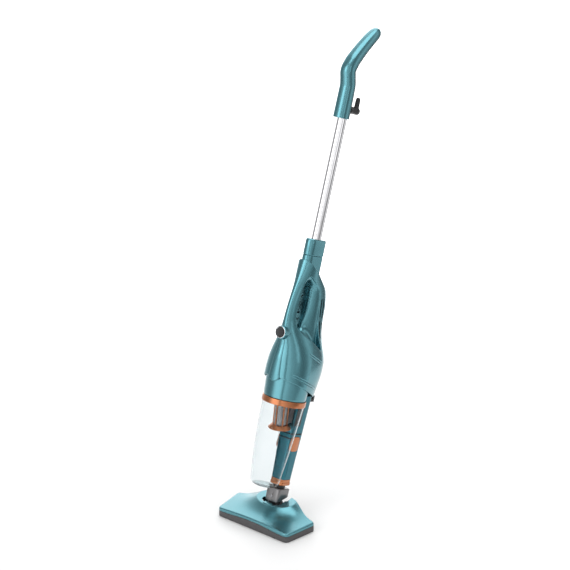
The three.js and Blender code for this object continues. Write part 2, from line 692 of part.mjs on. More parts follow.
function handheld() {
  const outside = cut(eggLoft(SHELL, SHELL_SIDES), above(HOOD_S, HOOD_RISE));
  const boss = rodY(14.6, -116, -86, 0, BUTTON_S, 32);
  const opening = openingBlock(0);
  const cavity = cut(
    eggLoft(stretched(SHELL, -1, -2.5), SHELL_SIDES, WALL),
    openingBlock(WALL),
    above(HOOD_S - WALL * hypot(1, HOOD_RISE), HOOD_RISE),
  );
  const stub = cut(loft([stubRing(492), stubRing(STUB_TOP)]), opening);
  const rib = cut(
    outside.intersect(box(-99, 99, -150, 90, 308, 310.5)),
    rod(27.2, 27.2, 300, 320, 0, -MOTOR_F, 24),
  );
  const posts = SCREWS.map(([f, s]) => rodX(5.2, -60, 60, -f, s, 14).intersect(outside));
  const wells = SCREWS.flatMap(([f, s]) => [
    rodX(3.6, -80, -12, -f, s, 12),
    rodX(1.8, -14, 9, -f, s, 8),
  ]);
  const solidShell = cut(join(outside, boss), cavity, opening);
  const whole = cut(
    join(solidShell, stub, rib, ...posts),
    below(SHELL_EDGE_S, SHELL_EDGE_RISE),
    rod(12.3, 12.3, 503, 560, 0, -TUBE_F, 24),
    rodY(11.6, -130, -98, 0, BUTTON_S, 28),
    rodY(8, -100, -85, 0, BUTTON_S, 20),
    ...wells,
    ...ventSlots(),
    box(-6.4, 6.4, -45.9, -20, LATCH_S - 8.4, LATCH_S + 8.4),
    rod(4.6, 4.6, 460, 510, 0, -GLAND_F, 20),
    eggLoft(stretched(DUCT, -1, 1), DUCT_SIDES, -0.4),
  );
  add(body, "shell_left", whole.intersect(half(-1)), TEAL);
  add(body, "shell_right", whole.intersect(half(1)), TEAL);

  const skin = cut(eggLoft(SHELL, SHELL_SIDES, -3.2), eggLoft(SHELL, SHELL_SIDES, -0.3));
  const wedge = transformed(
    plate([[8, 353], [15, 262], [-15, 262], [-8, 353]], 60, 120),
    new THREE.Matrix4().set(1, 0, 0, 0, 0, 0, -1, 0, 0, 1, 0, 0, 0, 0, 0, 1),
  );
  add(body, "front_ridge", cut(skin.intersect(wedge), below(SHELL_EDGE_S - 2.5, SHELL_EDGE_RISE)), TEAL);

  SCREWS.forEach(([f, s], i) => {
    const made = screw(3.2, 1.5, 19).rotate([0, -90, 0]).translate([-12.3, -f, s]);
    add(body, `shell_screw_${i + 1}`, made, STEEL);
  });
  for (const side of [-1, 1]) {
    const lining = cut(eggLoft(SHELL, SHELL_SIDES, WALL + 1), eggLoft(SHELL, SHELL_SIDES, WALL + 2));
    const field = sideBox(side, 4, 40, -20, 27, 356, 458);
    const sheet = cut(lining.intersect(field), openingBlock(WALL + 1));
    add(body, side < 0 ? "vent_grille_left" : "vent_grille_right", sheet, BLACK);
  }
  powerButton();
  cordParts();
}

// Two rows of two slots on each side of the column, as [forward, up] of their two ends.
const VENTS = [
  [[20.5, 453], [16, 412]], [[14.5, 404], [6.5, 366]], [[11, 454], [5, 409]], [[3.5, 401], [-7, 362]],
];
const VENT_WIDTH = 3.2;

function ventSlots() {
  const across = new THREE.Matrix4().set(0, 0, 1, 0, 1, 0, 0, 0, 0, 1, 0, 0, 0, 0, 0, 1);
  const half = VENT_WIDTH / 2;
  return [-1, 1].flatMap((side) => VENTS.map(([[f0, s0], [f1, s1]]) => {
    const outline = [[-f0 - half, s0], [-f1 - half, s1], [-f1 + half, s1], [-f0 + half, s0]];
    return transformed(side < 0 ? plate(outline, -60, -9) : plate(outline, 9, 60), across);
  }));
}

function powerButton() {
  const bezel = cut(rodY(14.2, -117.8, -116.3, 0, BUTTON_S, 32), rodY(11.6, -130, -100, 0, BUTTON_S, 32));
  add(body, "button_bezel", bezel, CHROME);
  const cap = join(rodY(11, -119.4, -108, 0, BUTTON_S, 32), rodY(3, -110, -102, 0, BUTTON_S, 16));
  add(body, "power_button", cap, BLACK);
  const spring = coil(5.5, 0.6, 4, 98.4, 107.2).rotate([90, 0, 0]).translate([0, 0, BUTTON_S]);
  add(body, "button_spring", spring, STEEL);
  add(body, "power_switch", box(-5, 5, -97.4, -87, BUTTON_S - 6, BUTTON_S + 4), BLACK);
}

function cordParts() {
  const gland = cut(
    join(rod(4.3, 4.3, 474, 496, 0, -GLAND_F, 20), rod(5.6, 4.8, 495.7, 503, 0, -GLAND_F, 20)),
    rod(3, 3, 470, 510, 0, -GLAND_F, 16),
  );
  add(body, "cord_gland", gland, RUBBER);
  const arm = join(
    box(-8, 8, 28.2, 48, 216, 222),
    box(-8, 8, 44, 49.5, 216, 230),
    box(-8, 8, 28.2, 31, 212, 230),
  );
  add(body, "lower_cord_hook", arm, BLACK);
  const latch = box(-6, 6, -43.6, -36.6, LATCH_S - 8, LATCH_S + 8);
  add(body, "rod_latch_button", latch, BLACK);
}

// ---- Motor and fan ------------------------------------------------------------------------
function motor() {
  const can = lathe([
    [26, MOTOR_LOW], [26, MOTOR_HIGH], [3.6, MOTOR_HIGH], [3.6, MOTOR_HIGH - 2.5],
    [23.5, MOTOR_HIGH - 2.5], [23.5, MOTOR_LOW + 2.5], [3.6, MOTOR_LOW + 2.5], [3.6, MOTOR_LOW],
  ], -MOTOR_F, 24);
  add(body, "motor_can", can, STEEL);
  const rotor = join(
    rod(20, 20, MOTOR_LOW + 7, MOTOR_HIGH - 7, 0, -MOTOR_F, 24),
    rod(3, 3, FAN_LOW + 1, MOTOR_HIGH + 2, 0, -MOTOR_F, 16),
  );
  add(body, "motor_rotor", rotor, COPPER);
  const blades = [];
  const count = 7;
  for (let i = 0; i < count; i++) {
    const blade = box(5, 29, -0.8, 0.8, FAN_LOW + 3, FAN_LOW + 9).rotate([0, 0, (360 * i) / count]);
    blades.push(blade.translate([0, -MOTOR_F, 0]));
  }
  const wheel = cut(
    join(rod(30, 30, FAN_LOW + 9, FAN_LOW + 10.2, 0, -MOTOR_F, 24), rod(7, 7, FAN_LOW + 2, FAN_LOW + 10, 0, -MOTOR_F, 20), ...blades),
    rod(3.3, 3.3, 0, 400, 0, -MOTOR_F, 16),
  );
  add(body, "impeller", wheel, GREY);
  const cover = lathe([
    [34, FAN_LOW], [34, FAN_LOW + 12.5], [32, FAN_LOW + 12.5], [32, FAN_LOW + 1.5],
    [12, FAN_LOW + 1.5], [12, FAN_LOW],
  ], -MOTOR_F, 24);
  add(body, "fan_cover", cover, GREY);
  add(body, "motor_mount", tubeRing(26.4, 31, 302, 307.6, -MOTOR_F, 24), RUBBER);
  add(body, "terminal_board", box(-14, 14, 13, 14.6, 312, 340), GREEN);
}

// ---- Motor chamber and dust cup -------------------------------------------------------------
function chamber() {
  const drum = lathe([
    [46.6, RING_HIGH + 0.6], [49.6, 262], [50, 281], [12, 281], [12, 278.6],
    [47.8, 278.6], [47.4, 262], [44.4, RING_HIGH + 0.6],
  ], -RING_F, 28);
  const ductRoom = eggLoft(stretched(DUCT, -10, 2), DUCT_SIDES, -0.5);
  add(body, "motor_chamber", cut(drum, ductRoom, box(-14, 14, -30, 60, 200, 262)), TEAL);
  const pleats = 18;
  const star = [];
  for (let i = 0; i < 2 * pleats; i++) {
    const angle = (PI * i) / pleats;
    const r = i % 2 ? 28 : 34;
    star.push([r * cos(angle), r * sin(angle) - RING_F]);
  }
  const paper = cut(plate(star, 236, 278), rod(11, 11, 200, 300, 0, -RING_F, 20));
  add(body, "hepa_filter", paper, WHITE);
}

const CUP = [
  { s: 25.5, c: 57, r: 22 },
  { s: 28, c: 57, r: 28 },
  { s: 34, c: 57, r: 32 },
  { s: 60, c: 57.5, r: 35.5 },
  { s: 108, c: 56.5, r: 40.5 },
  { s: 160, c: 54, r: 44 },
  { s: RING_LOW - GAP, c: RING_F, r: 46.8 },
];

function cupLoft(shrink, low, high) {
  const rings = CUP.map(({ s, c, r }) => ({ s, front: c + r, rear: c - r, a: r }));
  return eggLoft(stretched(rings, low, high), 30, shrink);
}

function dustCup() {
  const room = (more) => eggLoft(stretched(DUCT, -20, 2), DUCT_SIDES, -more);
  const outside = cut(cupLoft(0, 0, 0), room(CUP_ROOM));
  const inside = cut(cupLoft(CUP_WALL, CUP_WALL, 1), room(CUP_ROOM + CUP_WALL));
  const port = box(-8.5, 8.5, -32, -12, 187, 201);
  add(body, "dust_cup", cut(outside, inside, port), CLEAR);

  const rim = cut(
    lathe([
      [RING_R, RING_LOW], [RING_R, RING_HIGH], [30, RING_HIGH], [30, RING_HIGH - 2.4],
      [RING_R - 3, RING_HIGH - 2.4], [RING_R - 3, RING_LOW],
    ], -RING_F, 28),
    room(CUP_ROOM),
    tubeRing(SEAL_R - 1.5, SEAL_R + 1.5, RING_HIGH - 1.6, RING_HIGH + 1, -RING_F, 28),
  );
  const seal = tubeRing(SEAL_R - 1.2, SEAL_R + 1.2, RING_HIGH - 1.3, RING_HIGH + 0.3, -RING_F, 28);
  add(body, "cup_seal", cut(seal, room(CUP_ROOM)), RUBBER);
  const core = (made) => made.rotate([CORE_TILT, 0, 0]).translate([0, -CORE_F, RING_HIGH - 3]);
  const bars = [];
  for (let i = 0; i < 6; i++) {
    const bar = box(CORE_R + 0.4, CORE_R + 2.6, -1.4, 1.4, -62, 3).rotate([0, 0, 60 * i + 30]);
    bars.push(bar);
  }
  const flange = cut(rod(18.5, 18.5, -62, -58.5, 0, 0, 32), rod(9, 9, -70, -50, 0, 0, 24));
  const skirt = lathe([[18, -58.5], [26, -66], [25, -67.5], [16, -60.5]], 0, 32);
  const cage = core(join(flange, skirt, ...bars));
  const plateAbove = cut(rod(33, 33, RING_HIGH - 6, RING_HIGH - 2.2, 0, -RING_F, 28), rod(13, 13, 200, 240, 0, -RING_F, 28));
  const inRing = rod(44, 44, 100, RING_HIGH - 0.1, 0, -RING_F, 28);
  const behind = room(CUP_ROOM + CUP_WALL + 0.6);
  const hanging = cut(cage.intersect(inRing), behind);
  add(body, "cyclone_frame", cut(join(rim, cut(plateAbove, room(CUP_ROOM)), hanging)), COPPER);
  const screen = core(tubeRing(CORE_R - 1, CORE_R, -57.8, -6.5, 0, 28));
  add(body, "mesh_screen", screen, STEEL);
  const intake = cut(
    box(-16, 16, -44, -26, 166, RING_HIGH - 6 - GAP),
    core(rod(CORE_R + 3.2, CORE_R + 3.2, -90, 20)),
    core(rod(27, 27, -90, -54)),
    box(-9, 9, -45, -12, 187, 201),
  );
  add(body, "cyclone_intake", intake, GREY);
}

// ---- Rod: connector, tube and the long handle --------------------------------------------
function upperRod() {
  const connector = cut(
    join(
      loft([
        stubRing(STUB_TOP + GAP, 1), stubRing(STUB_TOP + 1.5), stubRing(CONNECTOR_TOP - 3),
        stubRing(CONNECTOR_TOP, 1.5),
      ]),
      rod(12, 12, 506, STUB_TOP + 2, 0, -TUBE_F, 24),
    ),
    rod(TUBE_D / 2 + GAP, TUBE_D / 2 + GAP, TUBE_LOW, 600, 0, -TUBE_F, 24),
  );
  add(body, "rod_connector", connector, TEAL);
  const tube = tubeRing(TUBE_D / 2 - 1, TUBE_D / 2, TUBE_LOW + GAP, TUBE_HIGH, -TUBE_F, 24);
  add(body, "chrome_tube", tube, CHROME);

  const bore = rod(TUBE_D / 2 + GAP, TUBE_D / 2 + GAP, 800, TUBE_HIGH + 0.5, 0, -TUBE_F, 24);
  add(body, "handle_shell", cut(handleLoft(-SEAM, SEAM), bore), TEAL);
  add(body, "handle_grip", cut(handleLoft(SEAM + 2.5, 360 - SEAM - 2.5), bore), RUBBER);

  const base = rodY(8, -46, -22.6, 0, HOOK_S, 24);
  const flare = transformed(
    rod(8, 10.5, 0, 10, 0, 0, 24),
    new THREE.Matrix4().makeRotationX(PI / 2).setPosition(0, -37, HOOK_S),
  );
  const mount = cut(join(base, flare), handleLoft(0, 360, 0.3), rodY(2.2, -50, -10, 0, HOOK_S, 16));
  add(body, "hook_base", mount, BLACK);
  const hook = join(
    rodY(8, -22.2, -11, 0, HOOK_S, 24),
    rod(5.6, 5.2, HOOK_S, HOOK_S + 27, 0, -16.5, 20),
    rod(5.2, 3, HOOK_S + 27, HOOK_S + 30, 0, -16.5, 20),
    rodY(1.9, -32, -20, 0, HOOK_S, 16),
  );
  add(body, "cord_hook", hook, BLACK);
}

// The handle's middle line, as [forward, up, half depth, half width] stations.
const HANDLE = [
  [64.3, 846, 17.4, 16.3], [64.3, 885, 17.2, 16.2], [64.8, 915, 16.6, 16], [70, 933, 16.2, 15.8],
  [74.5, 948, 16.5, 15.6], [68, 966, 16, 15.4], [56, 984, 15.2, 15], [40, 1004, 14.4, 14.5],
  [24, 1022, 13.8, 14], [10, 1036, 13, 13], [2, 1043.5, 10.5, 10.8], [-3, 1048, 5.5, 6],
];

// The part of the handle between two angles round its middle line, counted from the front.
function handleLoft(from, to, more = 0) {
  const line = new THREE.CatmullRomCurve3(HANDLE.map(([f, s]) => new Vector3(0, -f, s)));
  const steps = 18;
  const rings = [];
  for (let i = 0; i <= HANDLE.length - 1; i++) {
    const [f, s, depth, width] = HANDLE[i];
    const along = line.getTangent(i / (HANDLE.length - 1));
    const ahead = new Vector3(0, -along.z, along.y);
    const ring = [];
    for (let k = 0; k < steps; k++) {
      const angle = ((from + ((to - from) * k) / (to - from === 360 ? steps : steps - 1)) * PI) / 180;
      const p = new Vector3((width + more) * sin(angle), -f, s);
      ring.push(p.addScaledVector(ahead, (depth + more) * cos(angle)));
    }
    rings.push(ring);
  }
  return loft(rings);
}

floorHead();
neck();
duct();
chamber();
handheld();
motor();
dustCup();
upperRod();

export default group;
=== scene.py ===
"""The visual model of an upright stick vacuum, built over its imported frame."""
import json
import math

import bmesh
import bpy
import numpy as np
from mathutils import Matrix, Vector


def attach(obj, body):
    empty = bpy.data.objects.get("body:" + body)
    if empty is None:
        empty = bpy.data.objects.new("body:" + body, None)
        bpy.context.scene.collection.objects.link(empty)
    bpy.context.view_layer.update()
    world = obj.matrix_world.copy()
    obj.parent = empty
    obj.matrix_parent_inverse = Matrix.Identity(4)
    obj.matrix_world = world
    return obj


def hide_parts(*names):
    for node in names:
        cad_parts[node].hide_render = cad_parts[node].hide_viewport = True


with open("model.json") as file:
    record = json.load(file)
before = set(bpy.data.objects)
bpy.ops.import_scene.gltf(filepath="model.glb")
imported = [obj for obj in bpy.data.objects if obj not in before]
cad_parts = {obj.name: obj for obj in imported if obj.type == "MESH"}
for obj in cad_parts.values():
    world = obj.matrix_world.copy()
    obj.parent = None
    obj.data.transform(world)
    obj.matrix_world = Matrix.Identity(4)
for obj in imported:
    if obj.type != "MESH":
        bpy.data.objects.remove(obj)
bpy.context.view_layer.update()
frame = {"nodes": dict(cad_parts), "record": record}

# ---- Driving dimensions, in millimetres ----------------------------------------------
MM = 0.001
GAP = 0.3
WALL = 2.2
LEAN = math.radians(19)
BODY_Y, BODY_Z = 46.7, 50.0  # a point of the duct axis: the body's own frame starts here
BODY = Matrix.Translation((0, BODY_Y, BODY_Z)) @ Matrix.Rotation(-LEAN, 4, "X")
OBJECT = Matrix.Identity(4)
HINGE_S, ROLL_S = -20.0, -1.0
HINGE_Y, HINGE_Z = (BODY @ Vector((0, 0, HINGE_S)))[1:]

HEAD_FRONT, HEAD_BACK, HEAD_DEPTH = 200.0, 224.0, 84.0
HALF = HEAD_DEPTH / 2
SOLE_TOP, COVER_EDGE = 14.0, 20.0
COLLAR_Z, COLLAR_R, COLLAR_Y = 42.0, 33.0, 43.0
NECK_HOLE_Y, CATCH_Y, EAR_X = 43.0, 13.0, 27.5
ARCH, BACK_SWELL = 5.5, 30.0
BRISTLE_Y = (-31.0, 10.0)
WHEEL_R, WHEEL_X, WHEEL_Y, WHEEL_W = 8.0, 84.0, 30.0, 12.0

TUBE_D, TUBE_F, TUBE_LOW, TUBE_HIGH = 22.0, 59.5, 560.0, 900.0
RING_R, RING_F, RING_LOW, RING_HIGH = 49.0, 51.0, 212.0, 225.0
CUP_WALL, CUP_ROOM = 2.0, 1.7
CORE_R, CORE_F, CORE_TILT = 14.0, 57.0, math.radians(10)
DUCT_HIGH = 232.0
SHELL_TOP, STUB_TOP = 537.0, 544.0
HOOD_S, HOOD_RISE = 470.0, 0.72  # the oblique plane that ends the shell
SHELL_EDGE_S, SHELL_EDGE_RISE = 237.0, 0.34
LATCH_S, GLAND_F, HOOK_S = 518.0, 30.0, 867.0
BUTTON_S, RELEASE_S = 371.0, 122.0
SEAM = 112.0  # degrees from the handle's front to its grip strip
YOKE_BOTTOM = 44.5
SHELL_SMOOTH, COVER_SMOOTH, GROOVE_DEPTH, VENT_WIDTH = 12, 8, 1.3, 4.2
BANDS, BAND_WIDTH = (145, 134), 3.2  # grooves across the duct, darkened with painted shade
POST_X, POST_Y, PIN_BORE = 62, 23, 3.2
FINE = 0.75  # voxel of the remeshed mouldings

scene = bpy.context.scene
rng = np.random.default_rng(7)


# ---- Materials ------------------------------------------------------------------------
class Tree:
    """A node tree, with short ways to add and join nodes."""

    def __init__(self, tree):
        self.tree = tree

    def add(self, kind, **values):
        node = self.tree.nodes.new(kind)
        for key, value in values.items():
            if hasattr(node, key):
                setattr(node, key, value)
            else:
                node.inputs[key.replace("_", " ")].default_value = value
        return node

    def link(self, output, target):
        self.tree.links.new(output, target)

    def ramp(self, source, stops):
        node = self.add("ShaderNodeValToRGB")
        elements = node.color_ramp.elements
        while len(elements) < len(stops):
            elements.new(0.5)
        for element, (position, colour) in zip(elements, stops):
            element.position = position
            element.color = (*colour, 1) if len(colour) == 3 else colour
        self.link(source, node.inputs["Fac"])
        return node.outputs["Color"]



class Nodes(Tree):
    """A material's node tree round its Principled shader."""

    def __init__(self, name):
        self.material = bpy.data.materials.new(name)
        self.material.use_nodes = True
        super().__init__(self.material.node_tree)
        self.shader = self.tree.nodes["Principled BSDF"]
        self.place = self.add("ShaderNodeTexCoord").outputs["Object"]

    def noise(self, scale, detail=2.0, roughness=0.5):
        node = self.add("ShaderNodeTexNoise", Scale=scale, Detail=detail, Roughness=roughness)
        self.link(self.place, node.inputs["Vector"])
        return node.outputs["Fac"]

    def range(self, source, low, high):
        node = self.add("ShaderNodeMapRange")
        node.inputs["To Min"].default_value = low
        node.inputs["To Max"].default_value = high
        self.link(source, node.inputs["Value"])
        return node.outputs["Result"]

    def height(self, low, high):
        """How far along the duct axis a point lies: 0 at `low` and 1 at `high`."""
        up = self.add("ShaderNodeVectorMath", operation="DOT_PRODUCT")
        self.link(self.place, up.inputs[0])
        up.inputs[1].default_value = (0, math.sin(LEAN), math.cos(LEAN))
        base = BODY_Y * math.sin(LEAN) + BODY_Z * math.cos(LEAN)
        share = self.add("ShaderNodeMapRange", From_Min=(base + low) * MM, From_Max=(base + high) * MM)
        self.link(up.outputs["Value"], share.inputs["Value"])
        return share.outputs["Result"]

    def colour(self, source, stops):
        self.link(self.ramp(source, stops), self.shader.inputs["Base Color"])

    def rough(self, source, low, high):
        self.link(self.range(source, low, high), self.shader.inputs["Roughness"])

    def set(self, **values):
        for key, value in values.items():
            self.shader.inputs[key.replace("_", " ")].default_value = value

    def bump(self, height, strength, distance):
        node = self.add("ShaderNodeBump", Strength=strength, Distance=distance)
        self.link(height, node.inputs["Height"])
        self.link(node.outputs["Normal"], self.shader.inputs["Normal"])


def tinted(colour, factor):
    return tuple(min(1.0, channel * factor) for channel in colour)


def metallic_plastic(name, colour, metallic=0.82, rough=0.3, coat=0.35):
    """Moulded plastic with fine metal flakes and a satin surface."""
    made = Nodes(name)
    made.colour(made.noise(9000, 1), [(0.3, tinted(colour, 0.94)), (0.72, tinted(colour, 1.07))])
    made.rough(made.noise(60, 3), rough - 0.03, rough + 0.04)
    made.set(Metallic=metallic, Coat_Weight=coat, Coat_Roughness=0.12)
    made.bump(made.noise(500, 1), 0.008, 0.0002)
    return made


def with_groove_shade(made):
    """Paints shade into a material: near-black bands over the grooves across the duct."""
    low, high = min(BANDS) - 2 * BAND_WIDTH, max(BANDS) + 2 * BAND_WIDTH
    half, fade = BAND_WIDTH / 2, 0.3
    stops = []
    for s in sorted(BANDS):
        for edge, value in ((-half - fade, 1.0), (-half, 0.08), (half, 0.08), (half + fade, 1.0)):
            stops.append(((s + edge - low) / (high - low), (value, value, value)))
    base = made.shader.inputs["Base Color"]
    # painted shade: the colour is multiplied down to 0.08 across each groove, fading out over 0.3 mm
    mix = made.add("ShaderNodeMix", data_type="RGBA", blend_type="MULTIPLY")
    mix.inputs["Factor"].default_value = 1.0
    made.link(base.links[0].from_socket, mix.inputs[6])
    made.link(made.ramp(made.height(low, high), stops), mix.inputs[7])
    made.link(mix.outputs[2], base)
    return made


def plastic(name, colour, rough=0.5, grain=2500, depth=0.0002, strength=0.25):
    """Spark-eroded moulded plastic."""
    made = Nodes(name)
    made.colour(made.noise(220, 4), [(0.3, tinted(colour, 0.88)), (0.7, tinted(colour, 1.12))])
    made.rough(made.noise(90, 3), rough - 0.06, rough + 0.06)
    made.bump(made.noise(grain, 2), strength, depth)
    return made.material


def metal(name, colour, rough=0.2, brushed=False):
    made = Nodes(name)
    made.colour(made.noise(150, 3), [(0.35, tinted(colour, 0.95)), (0.65, tinted(colour, 1.04))])
    made.rough(made.noise(300, 3), rough * 0.8, rough * 1.25)
    made.set(Metallic=1.0)
    if brushed:
        made.bump(made.noise(3000, 3), 0.12, 0.0001)
    return made.material


def clear_plastic(name):
    """Clear plastic with painted shade at its foot, in place of the dark look of a thick base."""
    made = Nodes(name)
    # painted shade: dark grey-blue at the cup's foot, fading to clear between 25.5 and 29 mm along the
    # duct axis
    foot_shade = made.add("ShaderNodeMix", data_type="RGBA")
    made.link(made.height(25.5, 29), foot_shade.inputs["Factor"])
    foot_shade.inputs[6].default_value = (0.3, 0.4, 0.42, 1)
    clear = made.ramp(made.noise(25, 2), [(0.3, (0.945, 0.965, 0.97)), (0.7, (0.965, 0.98, 0.985))])
    made.link(clear, foot_shade.inputs[7])
    made.link(foot_shade.outputs[2], made.shader.inputs["Base Color"])
    made.rough(made.noise(120, 3), 0.02, 0.045)
    made.set(Transmission_Weight=1.0, IOR=1.13)
    made.bump(made.noise(18, 1), 0.02, 0.001)
    inner = made.add("ShaderNodeVolumeAbsorption", Color=(0.68, 0.76, 0.78, 1), Density=70.0)
    made.link(inner.outputs["Volume"], made.tree.nodes["Material Output"].inputs["Volume"])
    return made.material


def mesh_sheet(name, colour):
    """A fine woven screen: dark holes between bright wires."""
    made = Nodes(name)
    cells = made.add("ShaderNodeTexVoronoi", Scale=900.0)
    cells.distance = "CHEBYCHEV"
    made.link(made.place, cells.inputs["Vector"])
    holes = cells.outputs["Distance"]
    made.colour(holes, [(0.25, tinted(colour, 0.25)), (0.55, colour)])
    made.rough(holes, 0.55, 0.25)
    made.set(Metallic=0.9)
    made.bump(holes, 0.4, 0.0003)
    return made.material


TEAL = metallic_plastic("teal_metallic", (0.1, 0.285, 0.33), 0.9, 0.25, 0.4).material
# the duct's dark teal, with painted shade in its two grooves
TEAL_DARK = with_groove_shade(metallic_plastic("teal_duct", (0.018, 0.15, 0.195), 0.75, 0.3, 0.3)).material
COPPER = metallic_plastic("copper_metallic", (0.5, 0.185, 0.08), 0.9, 0.25, 0.3).material
GUNMETAL = metallic_plastic("gunmetal", (0.2, 0.197, 0.2), 0.88, 0.3, 0.2).material
BLACK = plastic("black_plastic", (0.018, 0.018, 0.02), 0.42)
GREY = plastic("grey_plastic", (0.062, 0.06, 0.062), 0.46)
RUBBER = plastic("soft_rubber", (0.03, 0.03, 0.032), 0.62, 1800, 0.0003, 0.4)
BOARD = plastic("green_board", (0.03, 0.14, 0.07), 0.4)
PAPER = plastic("filter_paper", (0.82, 0.82, 0.78), 0.85, 900, 0.0004, 0.5)
CHROME = metal("chrome", (0.88, 0.88, 0.9), 0.05)
STEEL = metal("steel", (0.36, 0.36, 0.38), 0.32, True)
WINDING = metal("copper_wire", (0.7, 0.36, 0.2), 0.35, True)
BRISTLE = plastic("bristle", (0.03, 0.03, 0.032), 0.7, 4000)
CLEAR = clear_plastic("clear_cup")
SCREEN = mesh_sheet("woven_screen", (0.42, 0.42, 0.43))

SLOT_LOOK = {
    "teal": TEAL, "copper": COPPER, "gunmetal": GUNMETAL, "black": BLACK, "grey": GREY,
    "chrome": CHROME, "steel": STEEL, "rubber": RUBBER, "clear": CLEAR, "paper": PAPER,
    "board": BOARD, "copper_wire": WINDING, "bristle": BRISTLE,
}
for part in frame["record"]["subparts"]:
    cad_node = frame["nodes"][part["node"]]
    cad_node.data.materials.clear()
    cad_node.data.materials.append(SLOT_LOOK[part["material_slot"]])


# ---- Mesh helpers -----------------------------------------------------------------------
def mesh_object(name, verts, faces):
    data = bpy.data.meshes.new(name)
    data.from_pydata([tuple(v) for v in verts], [], [tuple(f) for f in faces])
    obj = bpy.data.objects.new(name, data)
    scene.collection.objects.link(obj)
    made = bmesh.new()
    made.from_mesh(data)
    bmesh.ops.recalc_face_normals(made, faces=made.faces)
    made.to_mesh(data)
    made.free()
    return obj


def loft(name, rings, closed=False):
    """A skin over rings of equally many points; `closed` joins the last ring to the first."""
    rings = np.asarray(rings, float)
    count, n = rings.shape[:2]
    faces = []
    for r in range(count if closed else count - 1):
        low, high = r * n, ((r + 1) % count) * n
        faces += [(low + i, low + (i + 1) % n, high + (i + 1) % n, high + i) for i in range(n)]
    if not closed:
        faces.append(tuple(range(n))[::-1])
        faces.append(tuple((count - 1) * n + i for i in range(n)))
    return mesh_object(name, rings.reshape(-1, 3), faces)


def circle(radius, z, x=0.0, y=0.0, n=96):
    t = np.linspace(0, 2 * math.pi, n, endpoint=False)
    return np.stack([x + radius * np.cos(t), y + radius * np.sin(t), np.full(n, z)], -1)


def rounded(points, radius, closed=True, steps=4):
    """A polyline whose corners are rounded; `radius` is one number or one for each corner."""
    points = [np.array(p, float) for p in points]
    n = len(points)
    radii = [radius] * n if np.isscalar(radius) else radius
    made = []
    for i, p in enumerate(points):
        if not closed and i in (0, n - 1) or radii[i] == 0:
            made.append(p)
            continue
        before, after = points[i - 1] - p, points[(i + 1) % n] - p
        reach = min(radii[i], np.linalg.norm(before) * 0.49, np.linalg.norm(after) * 0.49)
        a = p + before / np.linalg.norm(before) * reach
        b = p + after / np.linalg.norm(after) * reach
        for t in np.linspace(0, 1, steps + 1):
            made.append((1 - t) ** 2 * a + 2 * t * (1 - t) * p + t * t * b)
    return made


def turned(name, profile, x=0.0, y=0.0, n=96, ring=True):
    """A solid of revolution round an upright axis; its profile is [radius, z] points. A ring
    has a closed profile, and any other solid is capped at both ends."""
    return loft(name, [circle(r, z, x, y, n) for r, z in profile], closed=ring)


def rod(name, r, z0, z1, x=0.0, y=0.0, edge=0.0, n=64):
    profile = [(r, z0), (r, z1)]
    if edge:
        profile = rounded([(r - edge, z0), (r, z0), (r, z1), (r - edge, z1)], edge, False)
    return turned(name, profile, x, y, n, ring=False)


def moved(obj, matrix):
    obj.data.transform(matrix)
    if matrix.determinant() < 0:
        obj.data.flip_normals()
    return obj


def along_x(obj, y, z):
    """Turns a solid made along Z so that its axis runs along X through (y, z)."""
    return moved(obj, Matrix.Translation((0, y, z)) @ Matrix.Rotation(math.pi / 2, 4, "Y"))


def along_y(obj, x, z):
    """Turns a solid made along Z so that it runs along Y; its old z becomes y."""
    return moved(obj, Matrix.Translation((x, 0, z)) @ Matrix.Rotation(-math.pi / 2, 4, "X"))


BLOCK_FACES = [(0, 3, 2, 1), (4, 5, 6, 7), (0, 1, 5, 4), (1, 2, 6, 5), (2, 3, 7, 6), (3, 0, 4, 7)]


def block(name, x0, x1, y0, y1, z0, z1, edge=0.0):
    corners = [(x, y, z) for z in (z0, z1) for x, y in ((x0, y0), (x1, y0), (x1, y1), (x0, y1))]
    obj = mesh_object(name, corners, BLOCK_FACES)
    return bevelled(obj, edge) if edge else obj


def settle(obj):
    """Applies the modifiers."""
    graph = bpy.context.evaluated_depsgraph_get()
    data = bpy.data.meshes.new_from_object(obj.evaluated_get(graph))
    obj.modifiers.clear()
    old, obj.data = obj.data, data
    bpy.data.meshes.remove(old)
    return obj


def drop(obj):
    data = obj.data
    bpy.data.objects.remove(obj)
    bpy.data.meshes.remove(data)


def boolean(obj, others, operation):
    for other in others:
        modifier = obj.modifiers.new("boolean", "BOOLEAN")
        modifier.operation = operation
        modifier.solver = "MANIFOLD"
        modifier.object = other
        settle(obj)
        drop(other)
    return obj


def cut(obj, *others):
    return boolean(obj, others, "DIFFERENCE")


def join(obj, *others):
    return boolean(obj, others, "UNION")


def common(obj, *others):
    return boolean(obj, others, "INTERSECT")


def bevelled(obj, width, segments=3, angle=32):
    modifier = obj.modifiers.new("bevel", "BEVEL")
    modifier.width = width
    modifier.segments = segments
    modifier.limit_method = "ANGLE"
    modifier.angle_limit = math.radians(angle)
    return settle(obj)


def remeshed(obj, voxel=FINE, smooth=6, factor=0.5):
    """An even skin with softened edges."""
    modifier = obj.modifiers.new("remesh", "REMESH")
    modifier.mode = "VOXEL"
    modifier.voxel_size = voxel
    settle(obj)
    modifier = obj.modifiers.new("smooth", "SMOOTH")
    modifier.factor = factor
    modifier.iterations = smooth
    return settle(obj)


def copy_of(obj, name):
    twin = bpy.data.objects.new(name, obj.data.copy())
    scene.collection.objects.link(twin)
    return twin


